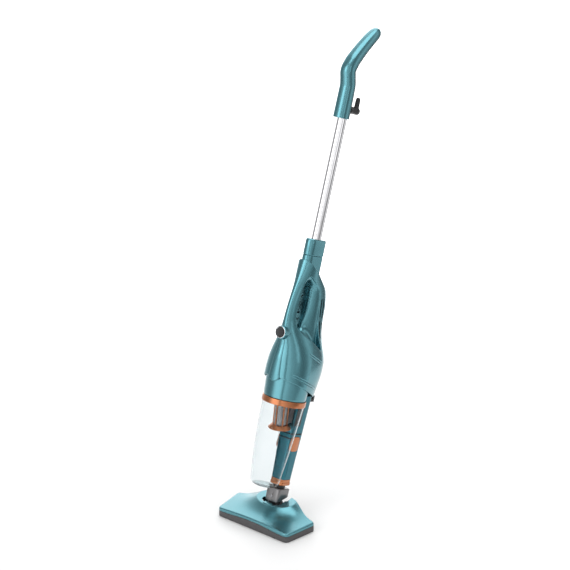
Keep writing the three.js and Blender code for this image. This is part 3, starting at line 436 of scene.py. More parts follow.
def half_of(obj, name, side, gap=0.15):
    """The half of a solid on one side of X = 0, closed along the cut."""
    twin = copy_of(obj, name)
    made = bmesh.new()
    made.from_mesh(twin.data)
    parts = made.verts[:] + made.edges[:] + made.faces[:]
    found = bmesh.ops.bisect_plane(
        made, geom=parts, plane_co=(side * gap, 0, 0), plane_no=(side, 0, 0), clear_inner=True
    )
    rim = [e for e in found["geom_cut"] if isinstance(e, bmesh.types.BMEdge)]
    bmesh.ops.holes_fill(made, edges=rim)
    made.to_mesh(twin.data)
    made.free()
    return twin


def piece(obj, name, body, slot, nodes, place=BODY, sharp=35, look=None):
    """Hands a finished solid over to the frame: it rides on a body and stands for nodes. Its
    slot gives its look, unless another one is named."""
    obj.name = name
    obj.data.name = name
    obj.data.transform(Matrix.Scale(MM, 4) @ place)
    obj.data.materials.clear()
    obj.data.materials.append(look or SLOT_LOOK[slot])
    obj.data.shade_smooth()
    if sharp:
        obj.data.set_sharp_from_angle(angle=math.radians(sharp))
    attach(obj, body)
    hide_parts(*nodes)


def pchip(x, y, q):
    """A smooth curve through points that doesn't overshoot."""
    x, y, q = (np.asarray(v, float) for v in (x, y, q))
    h = np.diff(x)
    d = np.diff(y) / h
    m = np.zeros(len(x))
    m[0], m[-1] = d[0], d[-1]
    for i in range(1, len(x) - 1):
        if d[i - 1] * d[i] > 0:
            w1, w2 = 2 * h[i] + h[i - 1], h[i] + 2 * h[i - 1]
            m[i] = (w1 + w2) / (w1 / d[i - 1] + w2 / d[i])
    k = np.clip(np.searchsorted(x, q) - 1, 0, len(x) - 2)
    t = (q - x[k]) / h[k]
    a = (1 + 2 * t) * (1 - t) ** 2 * y[k] + t * t * (3 - 2 * t) * y[k + 1]
    return a + h[k] * (t * (1 - t) ** 2 * m[k] - t * t * (1 - t) * m[k + 1])


# A station's columns: s, front, mid, rear, a, taper, nf, nr. Its half width is a at the
# distance mid forward of the duct axis; it reaches forward to front and back to rear.
def stations(table, count, low=None, high=None):
    table = np.array(table, float)
    low = table[0, 0] if low is None else low
    high = table[-1, 0] if high is None else high
    s = np.linspace(low, high, count)
    inside = np.clip(s, table[0, 0], table[-1, 0])
    columns = [pchip(table[:, 0], table[:, k], inside) for k in range(1, 8)]
    return np.stack([s, *columns], -1)


def egg(row, n=128, shrink=0.0):
    s, front, mid, rear, a, taper, nf, nr = row
    t = np.linspace(0, 2 * math.pi, n, endpoint=False)
    ahead = np.cos(t) >= 0
    power = np.where(ahead, nf, nr)
    depth = np.where(ahead, front - mid, mid - rear) - shrink
    along = np.abs(np.cos(t)) ** (2 / power)
    across = np.sign(np.sin(t)) * np.abs(np.sin(t)) ** (2 / power)
    narrow = np.where(ahead, 1.0, 1 - taper * along)
    f = mid + np.where(ahead, depth, -depth) * along
    return np.stack([(a - shrink) * across * narrow, -f, np.full(n, s)], -1)


def egg_loft(name, rows, n=128, shrink=0.0):
    return loft(name, [egg(row, n, shrink) for row in rows])


def plain_row(s, front, rear, a, power=5.0):
    return (s, front, (front + rear) / 2, rear, a, 0.0, power, power)


def half_space(name, s, rise, z0, z1):
    """A large block on one side of a plane, which crosses the duct axis at s and rises by
    `rise` for each millimetre forward."""
    obj = block(name, -200, 200, -200, 200, z0, z1)
    return moved(obj, Matrix.Translation((0, 0, s)) @ Matrix.Rotation(-math.atan(rise), 4, "X"))


def below(name, s, rise):
    return half_space(name, s, rise, -400, 0)


def above(name, s, rise):
    return half_space(name, s, rise, 0, 400)


def capsule(name, width, length, x0, x1, y, z, lean=0.0, n=10):
    """A slot with round ends, cut along X: its length runs along Z."""
    t = np.linspace(0, math.pi, n)
    r, reach = width / 2, length / 2 - width / 2
    ys = np.concatenate([r * np.cos(t), -r * np.cos(t)])
    zs = np.concatenate([reach + r * np.sin(t), -reach - r * np.sin(t)])
    ys = ys + zs * lean
    return loft(name, [np.stack([np.full(2 * n, x), y + ys, z + zs], -1) for x in (x0, x1)])


def screw(name, head, shank, length):
    """A pan-head screw, its seat at z = 0 and its head pointing up."""
    dome = [(shank, -length), (shank, -0.2), (head, 0), (head, 0.6), (head * 0.8, 1.35), (0.4, 1.6)]
    made = turned(name, dome, n=32, ring=False)
    for angle in (0, math.pi / 2):
        slot = block("slot", -head * 0.55, head * 0.55, -0.4, 0.4, 0.7, 3)
        cut(made, moved(slot, Matrix.Rotation(angle, 4, "Z")))
    return made


# ---- Handheld shell ---------------------------------------------------------------------
SHELL = [
    (215, 101, 51, -27, 50, 0.38, 2.1, 3.0),
    (240, 103.5, 51, -27.5, 52.4, 0.30, 2.1, 3.0),
    (262, 105.5, 51, -28, 53.3, 0.22, 2.1, 3.0),
    (285, 107, 50, -29, 53.3, 0.14, 2.1, 3.0),
    (311, 107, 48, -29, 51.5, 0.10, 2.1, 3.0),
    (330, 105.5, 47, -28, 48, 0.10, 2.1, 2.8),
    (345, 104.5, 44, -25, 43.5, 0.12, 2.1, 2.6),
    (360, 105, 42, -21, 37, 0.12, 2.1, 2.6),
    (375, 107, 38, -18, 30.5, 0.10, 2.1, 2.6),
    (390, 108, 34.5, -16.2, 26, 0.05, 2.1, 2.6),
    (405, 108, 32, -15, 23.5, 0, 2.1, 2.6),
    (430, 106, 31, -14.5, 22, 0, 2.1, 2.6),
    (455, 102, 35, -9.5, 21.5, 0, 2.1, 2.55),
    (470, 99, 40, -4, 21.5, 0, 2.1, 2.5),
    (500, 93.5, 57, 20, 23, 0, 2.1, 2.2),
    (537, 89, 64, 39, 25, 0, 2, 2),
]
# Each row is a point of the opening's outline: forward and up in the middle plane, then
# forward and up on the shell's side, and the half width between them.
OPENING = [
    (68, 487, 76, 499, 17), (79, 478, 84, 487, 15), (84, 464, 88.5, 469, 14), (86, 445, 91, 446, 14),
    (86, 422, 91.5, 422, 14), (85, 402, 90.5, 400, 14), (80, 389, 84, 385, 15), (73, 381, 72, 375, 17),
    (66, 378, 60, 368, 19), (60, 380, 46, 361, 21), (56, 385, 32, 353, 22), (54, 390, 19, 345, 22),
    (53, 396, 9, 341, 22), (52, 402, 10, 350, 22), (51, 410, 15.5, 372, 22), (50, 420, 20.5, 398, 21.5),
    (49.5, 432, 23.5, 420, 21.5), (50, 444, 25.5, 440, 21.5), (51, 456, 28, 457, 21.5),
    (54, 468, 35, 470, 21), (59, 478, 49, 482, 20), (63, 483, 63, 492, 19),
]
VENTS = [
    ((20.5, 453), (16, 412)), ((14.5, 404), (6.5, 366)),
    ((11, 454), (5, 409)), ((3.5, 401), (-7, 362)),
]


def closed_curve(rows, steps):
    """A smooth closed curve through the given rows, `steps` points from each to the next."""
    p = np.array(rows, float)
    n = len(p)
    dense = []
    for i in range(n):
        a, b, c, d = p[i - 1], p[i], p[(i + 1) % n], p[(i + 2) % n]
        for t in np.linspace(0, 1, steps, endpoint=False):
            bend = (2 * a - 5 * b + 4 * c - d) * t * t + (3 * b - a - 3 * c + d) * t ** 3
            dense.append(0.5 * (2 * b + (c - a) * t + bend))
    return np.array(dense)


def opening_cutter(name, more=0.0, steps=7):
    """The finger opening as a cutter, rounded from the middle plane out to the sides."""
    rows = closed_curve(OPENING, steps)

    def shifted(line):
        along = np.roll(line, -1, 0) - np.roll(line, 1, 0)
        along /= np.linalg.norm(along, axis=1)[:, None]
        return line + np.stack([-along[:, 1], along[:, 0]], -1) * more

    middle, side = shifted(rows[:, 0:2]), shifted(rows[:, 2:4])
    levels = np.sin(np.linspace(0, math.pi / 2, 12))
    right = []
    for level in [*levels, None]:
        share = 1.0 if level is None else 1 - math.sqrt(1 - level * level)
        at = middle + (side - middle) * share
        x = np.full(len(at), 90.0) if level is None else (rows[:, 4] - more) * level
        right.append(np.stack([x, -at[:, 0], at[:, 1]], -1))
    left = [ring * (-1, 1, 1) for ring in right[:0:-1]]
    return loft(name, left + right)


def stub_ring(s, shrink=0.0):
    """The plan of the stub and the connector above it: round in front and wider behind."""
    ring = []
    for x, f, r, start, end, count in (
        (0, 73.3, 13.5, -83.8, 83.8, 36), (10.5, 46, 6, 83.8, 180, 14), (-10.5, 46, 6, 180, 276.2, 14),
    ):
        for angle in np.radians(np.linspace(start, end, count)):
            ring.append((x + (r - shrink) * math.sin(angle), -(f + (r - shrink) * math.cos(angle)), s))
    return ring


def groove_depth(co):
    """How deep the styling lines on the shell's sides are at each point."""
    f, s = -co[:, 1], co[:, 2]
    depth = np.zeros(len(co))
    for (f0, s0), (f1, s1) in (((58, 336), (-40, 300)), ((94, 286), (-40, 244))):
        for drop_s in (0.0, 5.2):
            slope = (s1 - s0) / (f1 - f0)
            off = (s - (s0 - drop_s + slope * (f - f0))) / math.hypot(1, slope)
            fade = np.clip((f0 - f) / 10, 0, 1)
            depth = np.maximum(depth, fade * np.exp(-((off / 0.75) ** 2)))
    return depth * (np.abs(co[:, 0]) > 8)


def dented(obj, depth_at, amount):
    """Moves each point inwards by a share of `amount`."""
    n = len(obj.data.vertices)
    co = np.empty(n * 3)
    normal = np.empty(n * 3)
    obj.data.vertices.foreach_get("co", co)
    obj.data.vertices.foreach_get("normal", normal)
    co, normal = co.reshape(-1, 3), normal.reshape(-1, 3)
    co -= normal * (depth_at(co) * amount)[:, None]
    obj.data.vertices.foreach_set("co", co.ravel())
    obj.data.update()
    return obj


def build_shell():
    outside = cut(egg_loft("shell", stations(SHELL, 110)), above("hood", HOOD_S, HOOD_RISE))
    boss = along_y(rod("boss", 14.6, -116, -86), 0, BUTTON_S)
    join(outside, boss)
    cut(outside, opening_cutter("opening"))
    cavity = egg_loft("cavity", stations(SHELL, 90, 214, SHELL_TOP - 2.5), 96, WALL)
    cut(cavity, opening_cutter("room", WALL), above("roof", HOOD_S - 2.7, HOOD_RISE))
    cut(outside, cavity)
    stub = loft("stub", [stub_ring(492), stub_ring(STUB_TOP - 0.8), stub_ring(STUB_TOP, 0.8)])
    join(outside, cut(stub, opening_cutter("room", 0.3)))
    cut(outside, below("edge", SHELL_EDGE_S, SHELL_EDGE_RISE))
    remeshed(outside, FINE, SHELL_SMOOTH)
    dented(outside, groove_depth, GROOVE_DEPTH)
    cut(
        outside,
        rod("bore", 12.3, 503, 560, 0, -TUBE_F),
        along_y(rod("button_bore", 11.6, -130, -98), 0, BUTTON_S),
        along_y(rod("stem_bore", 8, -100, -85), 0, BUTTON_S),
        block("latch_room", -6.4, 6.4, -45.9, -20, LATCH_S - 8.4, LATCH_S + 8.4),
        rod("gland_bore", 4.6, 460, 510, 0, -GLAND_F),
    )
    for side in (-1, 1):
        for (f0, s0), (f1, s1) in VENTS:
            lean = -(f0 - f1) / (s0 - s1)
            x0, x1 = sorted((side * 9, side * 60))
            cut(outside, capsule("vent", VENT_WIDTH, s0 - s1, x0, x1, -(f0 + f1) / 2, (s0 + s1) / 2, lean))
    for f, s in ((85, 318), (4, 465)):
        cut(outside, along_x(rod("well", 3.6, -80, -12), -f, s))
    cut(outside, egg_loft("duct_room", stations(DUCT, 24, 38, DUCT_HIGH + 2), 96, -0.4))
    for side, word in ((-1, "left"), (1, "right")):
        made = half_of(outside, f"half_{word}", side)
        piece(made, f"shell_skin_{word}", "handheld", "teal", [f"shell_{word}"], sharp=50)
    drop(outside)


def shell_front(x, s):
    """How far forward the shell's surface is at a distance x from its middle plane."""
    table = np.array(SHELL, float)
    front, mid, a, nf = (pchip(table[:, 0], table[:, k], [s])[0] for k in (1, 2, 4, 6))
    return mid + (front - mid) * (1 - min(0.98, abs(x) / a) ** nf) ** (1 / nf)


def build_ridge():
    """The raised panel down the shell's front: it flares into a pointed lip at its foot."""
    rows, across = 40, 21
    top, under = [], []
    for s_share in np.linspace(0, 1, rows):
        half = 15.5 - 8.0 * s_share ** 0.8
        rise = 3.4 - 2.2 * s_share
        for u in np.linspace(-1, 1, across):
            x = u * half
            foot = 263.5 + 7.5 * abs(u) ** 1.5
            s = foot + (356 - foot) * s_share
            f = shell_front(x, s)
            crown = rise * (1 - 0.55 * abs(u) ** 3)
            top.append((x, -(f + crown), s))
            under.append((x, -(f - 0.8), s))
    faces = []
    shift = rows * across
    for r in range(rows - 1):
        for c in range(across - 1):
            a = r * across + c
            quad = (a, a + 1, a + across + 1, a + across)
            faces.append(quad)
            faces.append(tuple(i + shift for i in quad[::-1]))
    edge = list(range(across))
    edge += [r * across + across - 1 for r in range(1, rows)]
    edge += [(rows - 1) * across + c for c in range(across - 2, -1, -1)]
    edge += [r * across for r in range(rows - 2, 0, -1)]
    for i, a in enumerate(edge):
        b = edge[(i + 1) % len(edge)]
        faces.append((a, a + shift, b + shift, b))
    made = mesh_object("ridge", top + under, faces)
    piece(bevelled(made, 0.7), "ridge_panel", "handheld", "teal", ["front_ridge"], sharp=40)


def build_button():
    bezel_profile = rounded([(11.6, -116.9), (12.9, -116.9), (12.9, -115.2), (11.6, -115.2)], 0.6)
    bezel = along_y(turned("bezel", bezel_profile), 0, BUTTON_S)
    piece(bezel, "chrome_bezel", "handheld", "chrome", ["button_bezel"])
    profile = [
        (3, -102), (3, -108.5), (11, -108.5), (11, -118.6),
        (10.3, -119.3), (8.6, -119.0), (4, -118.6), (0.3, -118.5),
    ]
    cap = along_y(turned("cap", profile, ring=False), 0, BUTTON_S)
    piece(cap, "button_cap", "power_button", "black", ["power_button"])


# ---- Motor chamber, dust cup and cyclone ---------------------------------------------------
DUCT = [
    plain_row(39.3, 16.5, -17.5, 17),
    plain_row(100, 18.3, -19.5, 18.8),
    plain_row(155, 20, -21.5, 20.5),
    plain_row(DUCT_HIGH, 21, -24.5, 22.5),
]
CUP = [
    (25.5, 57, 22), (28, 57, 28), (34, 57, 32), (60, 57.5, 35.5),
    (108, 56.5, 40.5), (160, 54, 44), (211.7, RING_F, 46.8),
]


def duct_room(more):
    return egg_loft("room", stations(DUCT, 30, 10, DUCT_HIGH + 2), 96, -more)


def build_chamber():
    profile = rounded([
        (46.6, RING_HIGH + 0.6), (47.2, 230), (49.6, 262), (50, 281), (12, 281), (12, 278.6),
        (47.8, 278.6), (47.4, 262), (44.4, RING_HIGH + 0.6),
    ], 0.8)
    drum = turned("drum", profile, 0, -RING_F, 160)
    cut(drum, egg_loft("room", stations(DUCT, 24, 30, DUCT_HIGH + 2), 96, -0.5))
    cut(drum, block("rear_room", -14, 14, -30, 60, 200, 262))
    piece(drum, "chamber_drum", "handheld", "teal", ["motor_chamber"])


def cup_rows(shrink, low, high, count=60):
    table = [(s, c + r, c, c - r, r, 0, 2, 2) for s, c, r in CUP]
    rows = stations(table, count, low, high)
    rows[:, 1] -= shrink
    rows[:, 3] += shrink
    rows[:, 4] -= shrink
    return rows


def build_cup():
    outside = egg_loft("cup", cup_rows(0, CUP[0][0], CUP[-1][0]), 144)
    cut(outside, duct_room(CUP_ROOM))
    inside = egg_loft("inside", cup_rows(CUP_WALL, CUP[0][0] + CUP_WALL, CUP[-1][0] + 1), 144)
    cut(inside, duct_room(CUP_ROOM + CUP_WALL))
    cut(outside, inside, block("port", -8.5, 8.5, -32, -12, 187, 201))
    piece(outside, "clear_cup", "dust_cup", "clear", ["dust_cup"])


def core(obj):
    """Leans a solid made round the core's own axis into its place in the cup."""
    place = Matrix.Translation((0, -CORE_F, RING_HIGH - 3)) @ Matrix.Rotation(CORE_TILT, 4, "X")
    return moved(obj, place)


def build_cyclone():
    rim = turned("rim", rounded([
        (RING_R, RING_LOW), (RING_R, RING_HIGH), (30, RING_HIGH), (30, RING_HIGH - 2.4),
        (RING_R - 3, RING_HIGH - 2.4), (RING_R - 3, RING_LOW),
    ], [1.4, 1.4, 0.4, 0.4, 0.4, 0.6]), 0, -RING_F, 160)
    cut(rim, duct_room(CUP_ROOM))
    deck = cut(
        rod("deck", 33, RING_HIGH - 6, RING_HIGH - 2.2, 0, -RING_F),
        rod("deck_bore", 13, 200, 240, 0, -RING_F),
        duct_room(CUP_ROOM),
    )
    join(rim, deck)
    cage = core(turned("flange", rounded([(9, -62), (18.5, -62), (18.5, -58.5), (9, -58.5)], 0.8), n=72))
    skirt = turned("skirt", rounded([(18, -58.5), (26, -66), (25, -67.5), (16, -60.5)], 0.5), n=96)
    join(cage, core(skirt))
    for i in range(6):
        bar = block("bar", CORE_R + 0.4, CORE_R + 2.6, -1.4, 1.4, -62, 3, 0.5)
        join(cage, core(moved(bar, Matrix.Rotation(math.radians(60 * i + 30), 4, "Z"))))
    common(cage, rod("in_ring", 44, 100, RING_HIGH - 0.1, 0, -RING_F))
    cut(cage, duct_room(CUP_ROOM + CUP_WALL + 0.6))
    join(rim, cage)
    piece(rim, "cyclone_cage", "dust_cup", "copper", ["cyclone_frame"])
    wall = [(CORE_R - 1, -57.8), (CORE_R, -57.8), (CORE_R, -6.5), (CORE_R - 1, -6.5)]
    screen = core(turned("screen", wall))
    piece(screen, "woven_screen", "dust_cup", "steel", ["mesh_screen"], look=SCREEN)


# ---- Duct, neck and collar -----------------------------------------------------------------
def release_plate(name, side, x0, x1, more=0.0, edge=0.0):
    """A rounded plate on a side of the duct; its outward direction is X."""
    outline = rounded([(-17 - more, -13.5 - more), (17 + more, -13.5 - more), (17 + more, 13.5 + more),
                       (-17 - more, 13.5 + more)], 9, steps=8)
    rings = []
    levels = [(x0, 0), (x1, 0)]
    if edge:
        levels = [(x0, 0), (x1 - edge, 0), (x1 - edge * 0.3, edge * 0.35), (x1, edge)]
    for x, inset in levels:
        ring = []
        for z, y in outline:
            k = 1 - inset / 17
            ring.append((side * x, -2 + y * k, RELEASE_S + z * k))
        rings.append(ring)
    return loft(name, rings)


def build_duct():
    outside = egg_loft("duct", stations(DUCT, 40), 128)
    inside = egg_loft("bore", stations(DUCT, 40, 38, DUCT_HIGH + 1), 128, WALL)
    cut(outside, inside)
    for side in (-1, 1):
        x0, x1 = sorted((side * 9, side * 30))
        pocket = block("pocket", x0, x1, -20, 15, RELEASE_S - 20, RELEASE_S + 20)
        join(outside, common(pocket, egg_loft("skin", stations(DUCT, 40), 128)))
        x0, x1 = sorted((side * 10.5, side * 16))
        cut(outside, block("hollow", x0, x1, -16.6, 12.6, RELEASE_S - 18, RELEASE_S + 18))
        cut(outside, release_plate("window", side, 15.5, 30, 0.4))
    cut(outside, block("port", -9, 9, -30, -12, 186, 202))
    for s in BANDS:
        band = cut(
            egg_loft("band", [plain_row(s + z * BAND_WIDTH, 26, -10, 26) for z in (-0.5, 0.5)], 64),
            egg_loft("keep", stations(DUCT, 10, 60, 220), 96, 1.4),
        )
        cut(outside, band)
    panel = cut(
        plan_block("panel", 25, 50, 0.1, -30, 62, 126),
        egg_loft("keep", stations(DUCT, 20, 50, 140), 96, 1.3),
    )
    cut(outside, panel)
    for side in (-1, 1):
        x0, x1 = sorted((side * 12, side * 30))
        keep = egg_loft("keep", stations(DUCT, 20, 40, 140), 96, 0.6)
        cut(outside, cut(block("line", x0, x1, -8.6, -7.8, 46, 100), keep))
    piece(outside, "air_duct", "handheld", "teal", ["duct"], look=TEAL_DARK)

    rows = [plain_row(*v) for v in (
        (25, 15.6, -16.6, 16.2), (25.6, 16.6, -17.6, 17.2), (26.6, 17.3, -18.3, 17.8),
        (31.4, 17.4, -18.4, 17.9), (32, 17.1, -18.1, 17.6), (32.5, 16.7, -17.7, 17.2),
        (38.6, 16.7, -17.7, 17.2), (39, 16.4, -17.4, 16.9),
    )]
    collar = cut(egg_loft("collar", rows, 96), rod("collar_bore", 13.4, 20, 50))
    piece(collar, "copper_collar", "handheld", "copper", ["duct_collar"])

    for side, word in ((-1, "left"), (1, "right")):
        skin = egg_loft("skin", stations(DUCT, 42, 38, 233), 128, -0.3)
        label = cut(egg_loft("label", stations(DUCT, 40), 128, -1.1), skin)
        x0, x1 = sorted((side * 8, side * 30))
        common(label, block("field", x0, x1, -18, -1, 164, 208))
        piece(label, f"dark_panel_{word}", "handheld", "grey", [f"label_panel_{word}"])
        button = release_plate("button", side, 16.4, 20.6, 0, 1.2)
        node = f"release_button_{word}"
        piece(button, f"release_key_{word}", f"release_{word}", "copper", [node])


def build_neck():
    rows = [(s, 21 - inset, 1, -19 + inset, 19 - inset, 0, 6, 6)
            for s, inset in ((-18, 0), (15.6, 0), (17, 0.35), (17.7, 1.0), (18, 1.9))]
    outside = egg_loft("yoke", rows, 128)
    inside = egg_loft("yoke_room", [(s, 18.4, 1, -16.4, 16.4, 0, 6, 6) for s in (-30, 15.2)], 96)
    cut(
        outside,
        inside,
        below("level", (YOKE_BOTTOM - BODY_Z) / math.cos(LEAN), -math.tan(LEAN)),
        rod("neck_hole", 13.5, 10, 20),
        along_y(rod("screw_hole", 1.9, -30, 30), 0, ROLL_S),
    )
    piece(bevelled(outside, 0.5, 2), "neck_yoke", "neck", "gunmetal", ["yoke"], sharp=30)
    for y, turn, name in ((-21.3, -1, "front"), (19.3, 1, "rear")):
        made = screw("pin", 3.2, 1.6, 9 if turn < 0 else 7)
        moved(made, Matrix.Translation((0, y, ROLL_S)) @ Matrix.Rotation(-turn * math.pi / 2, 4, "X"))
        piece(made, f"pivot_screw_{name}", "neck", "steel", [f"roll_screw_{name}"])
    profile = [(15.6, 11.8), (15.6, 14.9), (13.1, 14.9), (13.1, 50), (10.6, 50), (10.6, 11.8)]
    spigot = turned("spigot", rounded(profile, 0.4))
    piece(spigot, "neck_tube", "neck", "black", ["neck_spigot"])
    barrel = along_x(rod("barrel", 11, -12.6, 12.6, edge=0.8), 0, HINGE_S)
    tower = rod("tower", 13, HINGE_S, 6, edge=0.5)
    bosses = along_y(rod("bosses", 5.5, -16, 16, edge=0.4), 0, ROLL_S)
    join(barrel, tower, bosses)
    cut(
        barrel,
        rod("elbow_bore", 10, HINGE_S - 12, 12),
        along_x(rod("pin_bore", PIN_BORE, -14, 14), 0, HINGE_S),
        along_y(rod("roll_bore", 1.8, -17, 17), 0, ROLL_S),
    )
    piece(barrel, "swivel_elbow", "elbow", "black", ["elbow"])


# ---- Floor head ---------------------------------------------------------------------------
def bezier(points, count):
    t = np.linspace(0, 1, count, endpoint=False)[:, None]
    p = np.array(points, float)
    if len(p) == 3:
        return (1 - t) ** 2 * p[0] + 2 * t * (1 - t) * p[1] + t * t * p[2]
    return (1 - t) ** 3 * p[0] + 3 * t * (1 - t) ** 2 * p[1] + 3 * t * t * (1 - t) * p[2] + t ** 3 * p[3]


def head_outline(swell, count):
    """The head's outline in plan. The back edge swells out in the middle, round the collar."""
    front, back, r = HEAD_FRONT / 2, HEAD_BACK / 2, 10
    right = [
        bezier([(front - r, -HALF), (front, -HALF), (front + 1.4, -HALF + r)], 10),
        bezier([(back - 1, HALF - 7), (back, HALF), (back - 9, HALF)], 10),
    ]
    if swell:
        rear = [(back - 9, HALF), (back - 45, HALF + 2), (52, HALF + swell), (0, HALF + swell)]
        right.append(bezier(rear, 40))
    else:
        right.append(np.array([(back - 9, HALF)]))
    right = np.concatenate(right)
    left = right[::-1] * (-1, 1)
    if swell:
        right = np.concatenate([right, [(0, HALF + swell)]])
    line = np.concatenate([right, left])
    line = np.concatenate([line, line[:1]])
    run = np.concatenate([[0], np.cumsum(np.linalg.norm(np.diff(line, axis=0), axis=1))])
    at = np.linspace(0, run[-1], count, endpoint=False)
    return np.stack([np.interp(at, run, line[:, k]) for k in range(2)], -1)


def cover_height(x, y):
    """The cover's crown: a low dome, and a bell that sweeps up to the collar."""
    across = 1 - (np.abs(x) / (HEAD_BACK / 2)) ** 2
    dome = COVER_EDGE + 5 * across
    out = np.hypot(x / 1.35, y - COLLAR_Y)
    bell = (COLLAR_Z - COVER_EDGE) * np.exp(-((np.maximum(0, out - COLLAR_R + 4) / 22) ** 1.3))
    return np.minimum(dome + bell, COLLAR_Z)


def cover_skin(name, line, inset, bottom):
    long = np.hypot(line[:, 0], line[:, 1] - COLLAR_Y)
    edge = 4.0

    def ring(share, lower):
        """The outline shrunk towards the collar and laid on the crown, `lower` under it."""
        k = share[:, None]
        p = np.concatenate([line[:, :1] * k, COLLAR_Y + (line[:, 1:] - COLLAR_Y) * k], 1)
        z = cover_height(p[:, 0], p[:, 1]) - inset - lower
        return np.concatenate([p, z[:, None]], 1)

    foot = ring((long - inset) / long, 0.0)
    foot[:, 2] = bottom
    rings = [foot]
    for t in np.linspace(0, math.pi / 2, 7):
        inward = edge * (1 - math.cos(t))
        rings.append(ring((long - inset - inward) / long, edge * 0.75 * (1 - math.sin(t))))
    start = (long - inset - edge) / long
    for share in np.linspace(1, 0.03, 44)[1:]:
        rings.append(ring(start * share, 0.0))
    return loft(name, rings)


def arch_block(name, y0, y1, lift):
    half = HEAD_FRONT / 2 - 6
    x = np.linspace(-half, half, 49)
    top = SOLE_TOP - GAP + lift + ARCH * np.cos(x / half * math.pi / 2) ** 2
    outline = [*zip(x, top), (half, SOLE_TOP - 3), (-half, SOLE_TOP - 3)]
    return loft(name, [[(px, y, pz) for px, pz in outline] for y in (y0, y1)])


def plan_block(name, w, h, r, cy, z0, z1):
    """An upright block with a rounded plan, centred on (0, cy)."""
    x, y0, y1 = w / 2, cy - h / 2, cy + h / 2
    outline = rounded([(-x, y0), (x, y0), (x, y1), (-x, y1)], r, steps=8)
    return loft(name, [[(x, y, z) for x, y in outline] for z in (z0, z1)])


def build_cover():
    line = head_outline(BACK_SWELL, 240)
    top = cover_skin("cover", line, 0, SOLE_TOP)
    under = cover_skin("under", line, WALL, SOLE_TOP - 5)
    ears = []
    for side in (-1, 1):
        x = side * EAR_X
        ear = join(
            along_x(rod("ear", 6.5, x - 4, x + 4), HINGE_Y, HINGE_Z),
            block("web", x - 4, x + 4, HINGE_Y - 6.5, HINGE_Y + 6.5, HINGE_Z, 60),
        )
        ears.append(common(ear, copy_of(top, "crown")))
    posts = [
        common(rod("post", 4.2, SOLE_TOP, 60, x, POST_Y), copy_of(top, "crown"))
        for x in (-POST_X, POST_X)
    ]
    cut(top, under)
    join(top, *posts)
    cut(top, plan_block("neck_hole", 53, 54, 18, NECK_HOLE_Y, 10, 60))
    join(top, *ears)
    cut(
        top,
        *[rod("post_hole", 1.7, 0, SOLE_TOP + 7, x, POST_Y) for x in (-POST_X, POST_X)],
        along_x(rod("pin_hole", PIN_BORE, -40, 40), HINGE_Y, HINGE_Z),
        block("rear_notch", -23.5, 23.5, HINGE_Y, 90, SOLE_TOP + 2.5, 60),
        block("rear_notch", -24.6, 24.6, HINGE_Y + 8, 90, SOLE_TOP + 2.5, 60),
        plan_block("catch_slot", 22, 11, 4, CATCH_Y, 20, 60),
        arch_block("arch", -HALF - 1, -HALF + 3.8, GAP),
    )
    remeshed(top, FINE, COVER_SMOOTH)
    piece(top, "cover_moulding", "floor_head", "teal", ["head_cover"], OBJECT, sharp=50)
    key = plan_block("key", 21.2, 10.2, 3.4, CATCH_Y, COLLAR_Z - 10, COLLAR_Z + 1.5)
    bevelled(key, 1.6, 4, 60)
    join(key, block("stem", -3, 3, CATCH_Y - 3, CATCH_Y + 3, SOLE_TOP + 1, COLLAR_Z - 8))
    piece(key, "catch_key", "head_catch", "teal", ["head_catch"], OBJECT)


def build_sole():
    line = head_outline(0, 240)

    def ring(inset, z):
        k = 1 - inset / np.hypot(line[:, 0], line[:, 1])
        return np.concatenate([line * k[:, None], np.full((len(line), 1), z)], 1)

    levels = [(1.6, 0), (0.7, 0.3), (0.2, 0.9), (0, 1.8), (0, SOLE_TOP - GAP)]
    sole = loft("sole", [ring(*level) for level in levels])
    plan = loft("plan", [ring(0, z) for z in (0, 40)])
    join(sole, common(arch_block("arch", -HALF - 1, -HALF + 3.5, 0), plan))
    hollow = loft("hollow", [ring(3, z) for z in (3, SOLE_TOP + 1)])
    keep = [block("slot_wall", -92, 92, -27, -5, 0, 16), block("throat_wall", -24, 24, -6, 34, 0, 16)]
    keep += [block("groove_wall", -92, 92, y - 4.5, y + 4.5, 0, 8) for y in BRISTLE_Y]
    keep += [
        block("well_wall", x - 9.5, x + 9.5, WHEEL_Y - 11.5, WHEEL_Y + 12, 0, 16)
        for x in (-WHEEL_X, WHEEL_X)
    ]
    keep += [rod("post", 4.5, 0, 20, x, POST_Y) for x in (-POST_X, POST_X)]
    cut(hollow, *keep)
    cut(sole, hollow, block("slot", -88, 88, -24, -8, -1, 15), block("throat", -20, 20, -24, 34, 6, 15))
    for y in BRISTLE_Y:
        cut(sole, block("groove", -90, 90, y - 2.5, y + 2.5, -1, 5))
    for side in (-1, 1):
        x = side * WHEEL_X
        cut(sole, block("well", x - 7, x + 7, WHEEL_Y - WHEEL_R - 1, WHEEL_Y + WHEEL_R + 1, -1, 15))
        cut(sole, along_x(rod("axle_hole", 1.8, x - 8.6, x + 8.6), WHEEL_Y, WHEEL_R))
    for x in (-POST_X, POST_X):
        cut(sole, rod("screw_hole", 1.9, -1, 20, x, POST_Y))
        cut(sole, rod("screw_seat", 3.8, -1, 4, x, POST_Y))
    piece(sole, "sole_plate", "floor_head", "grey", ["head_sole"], OBJECT, sharp=30)


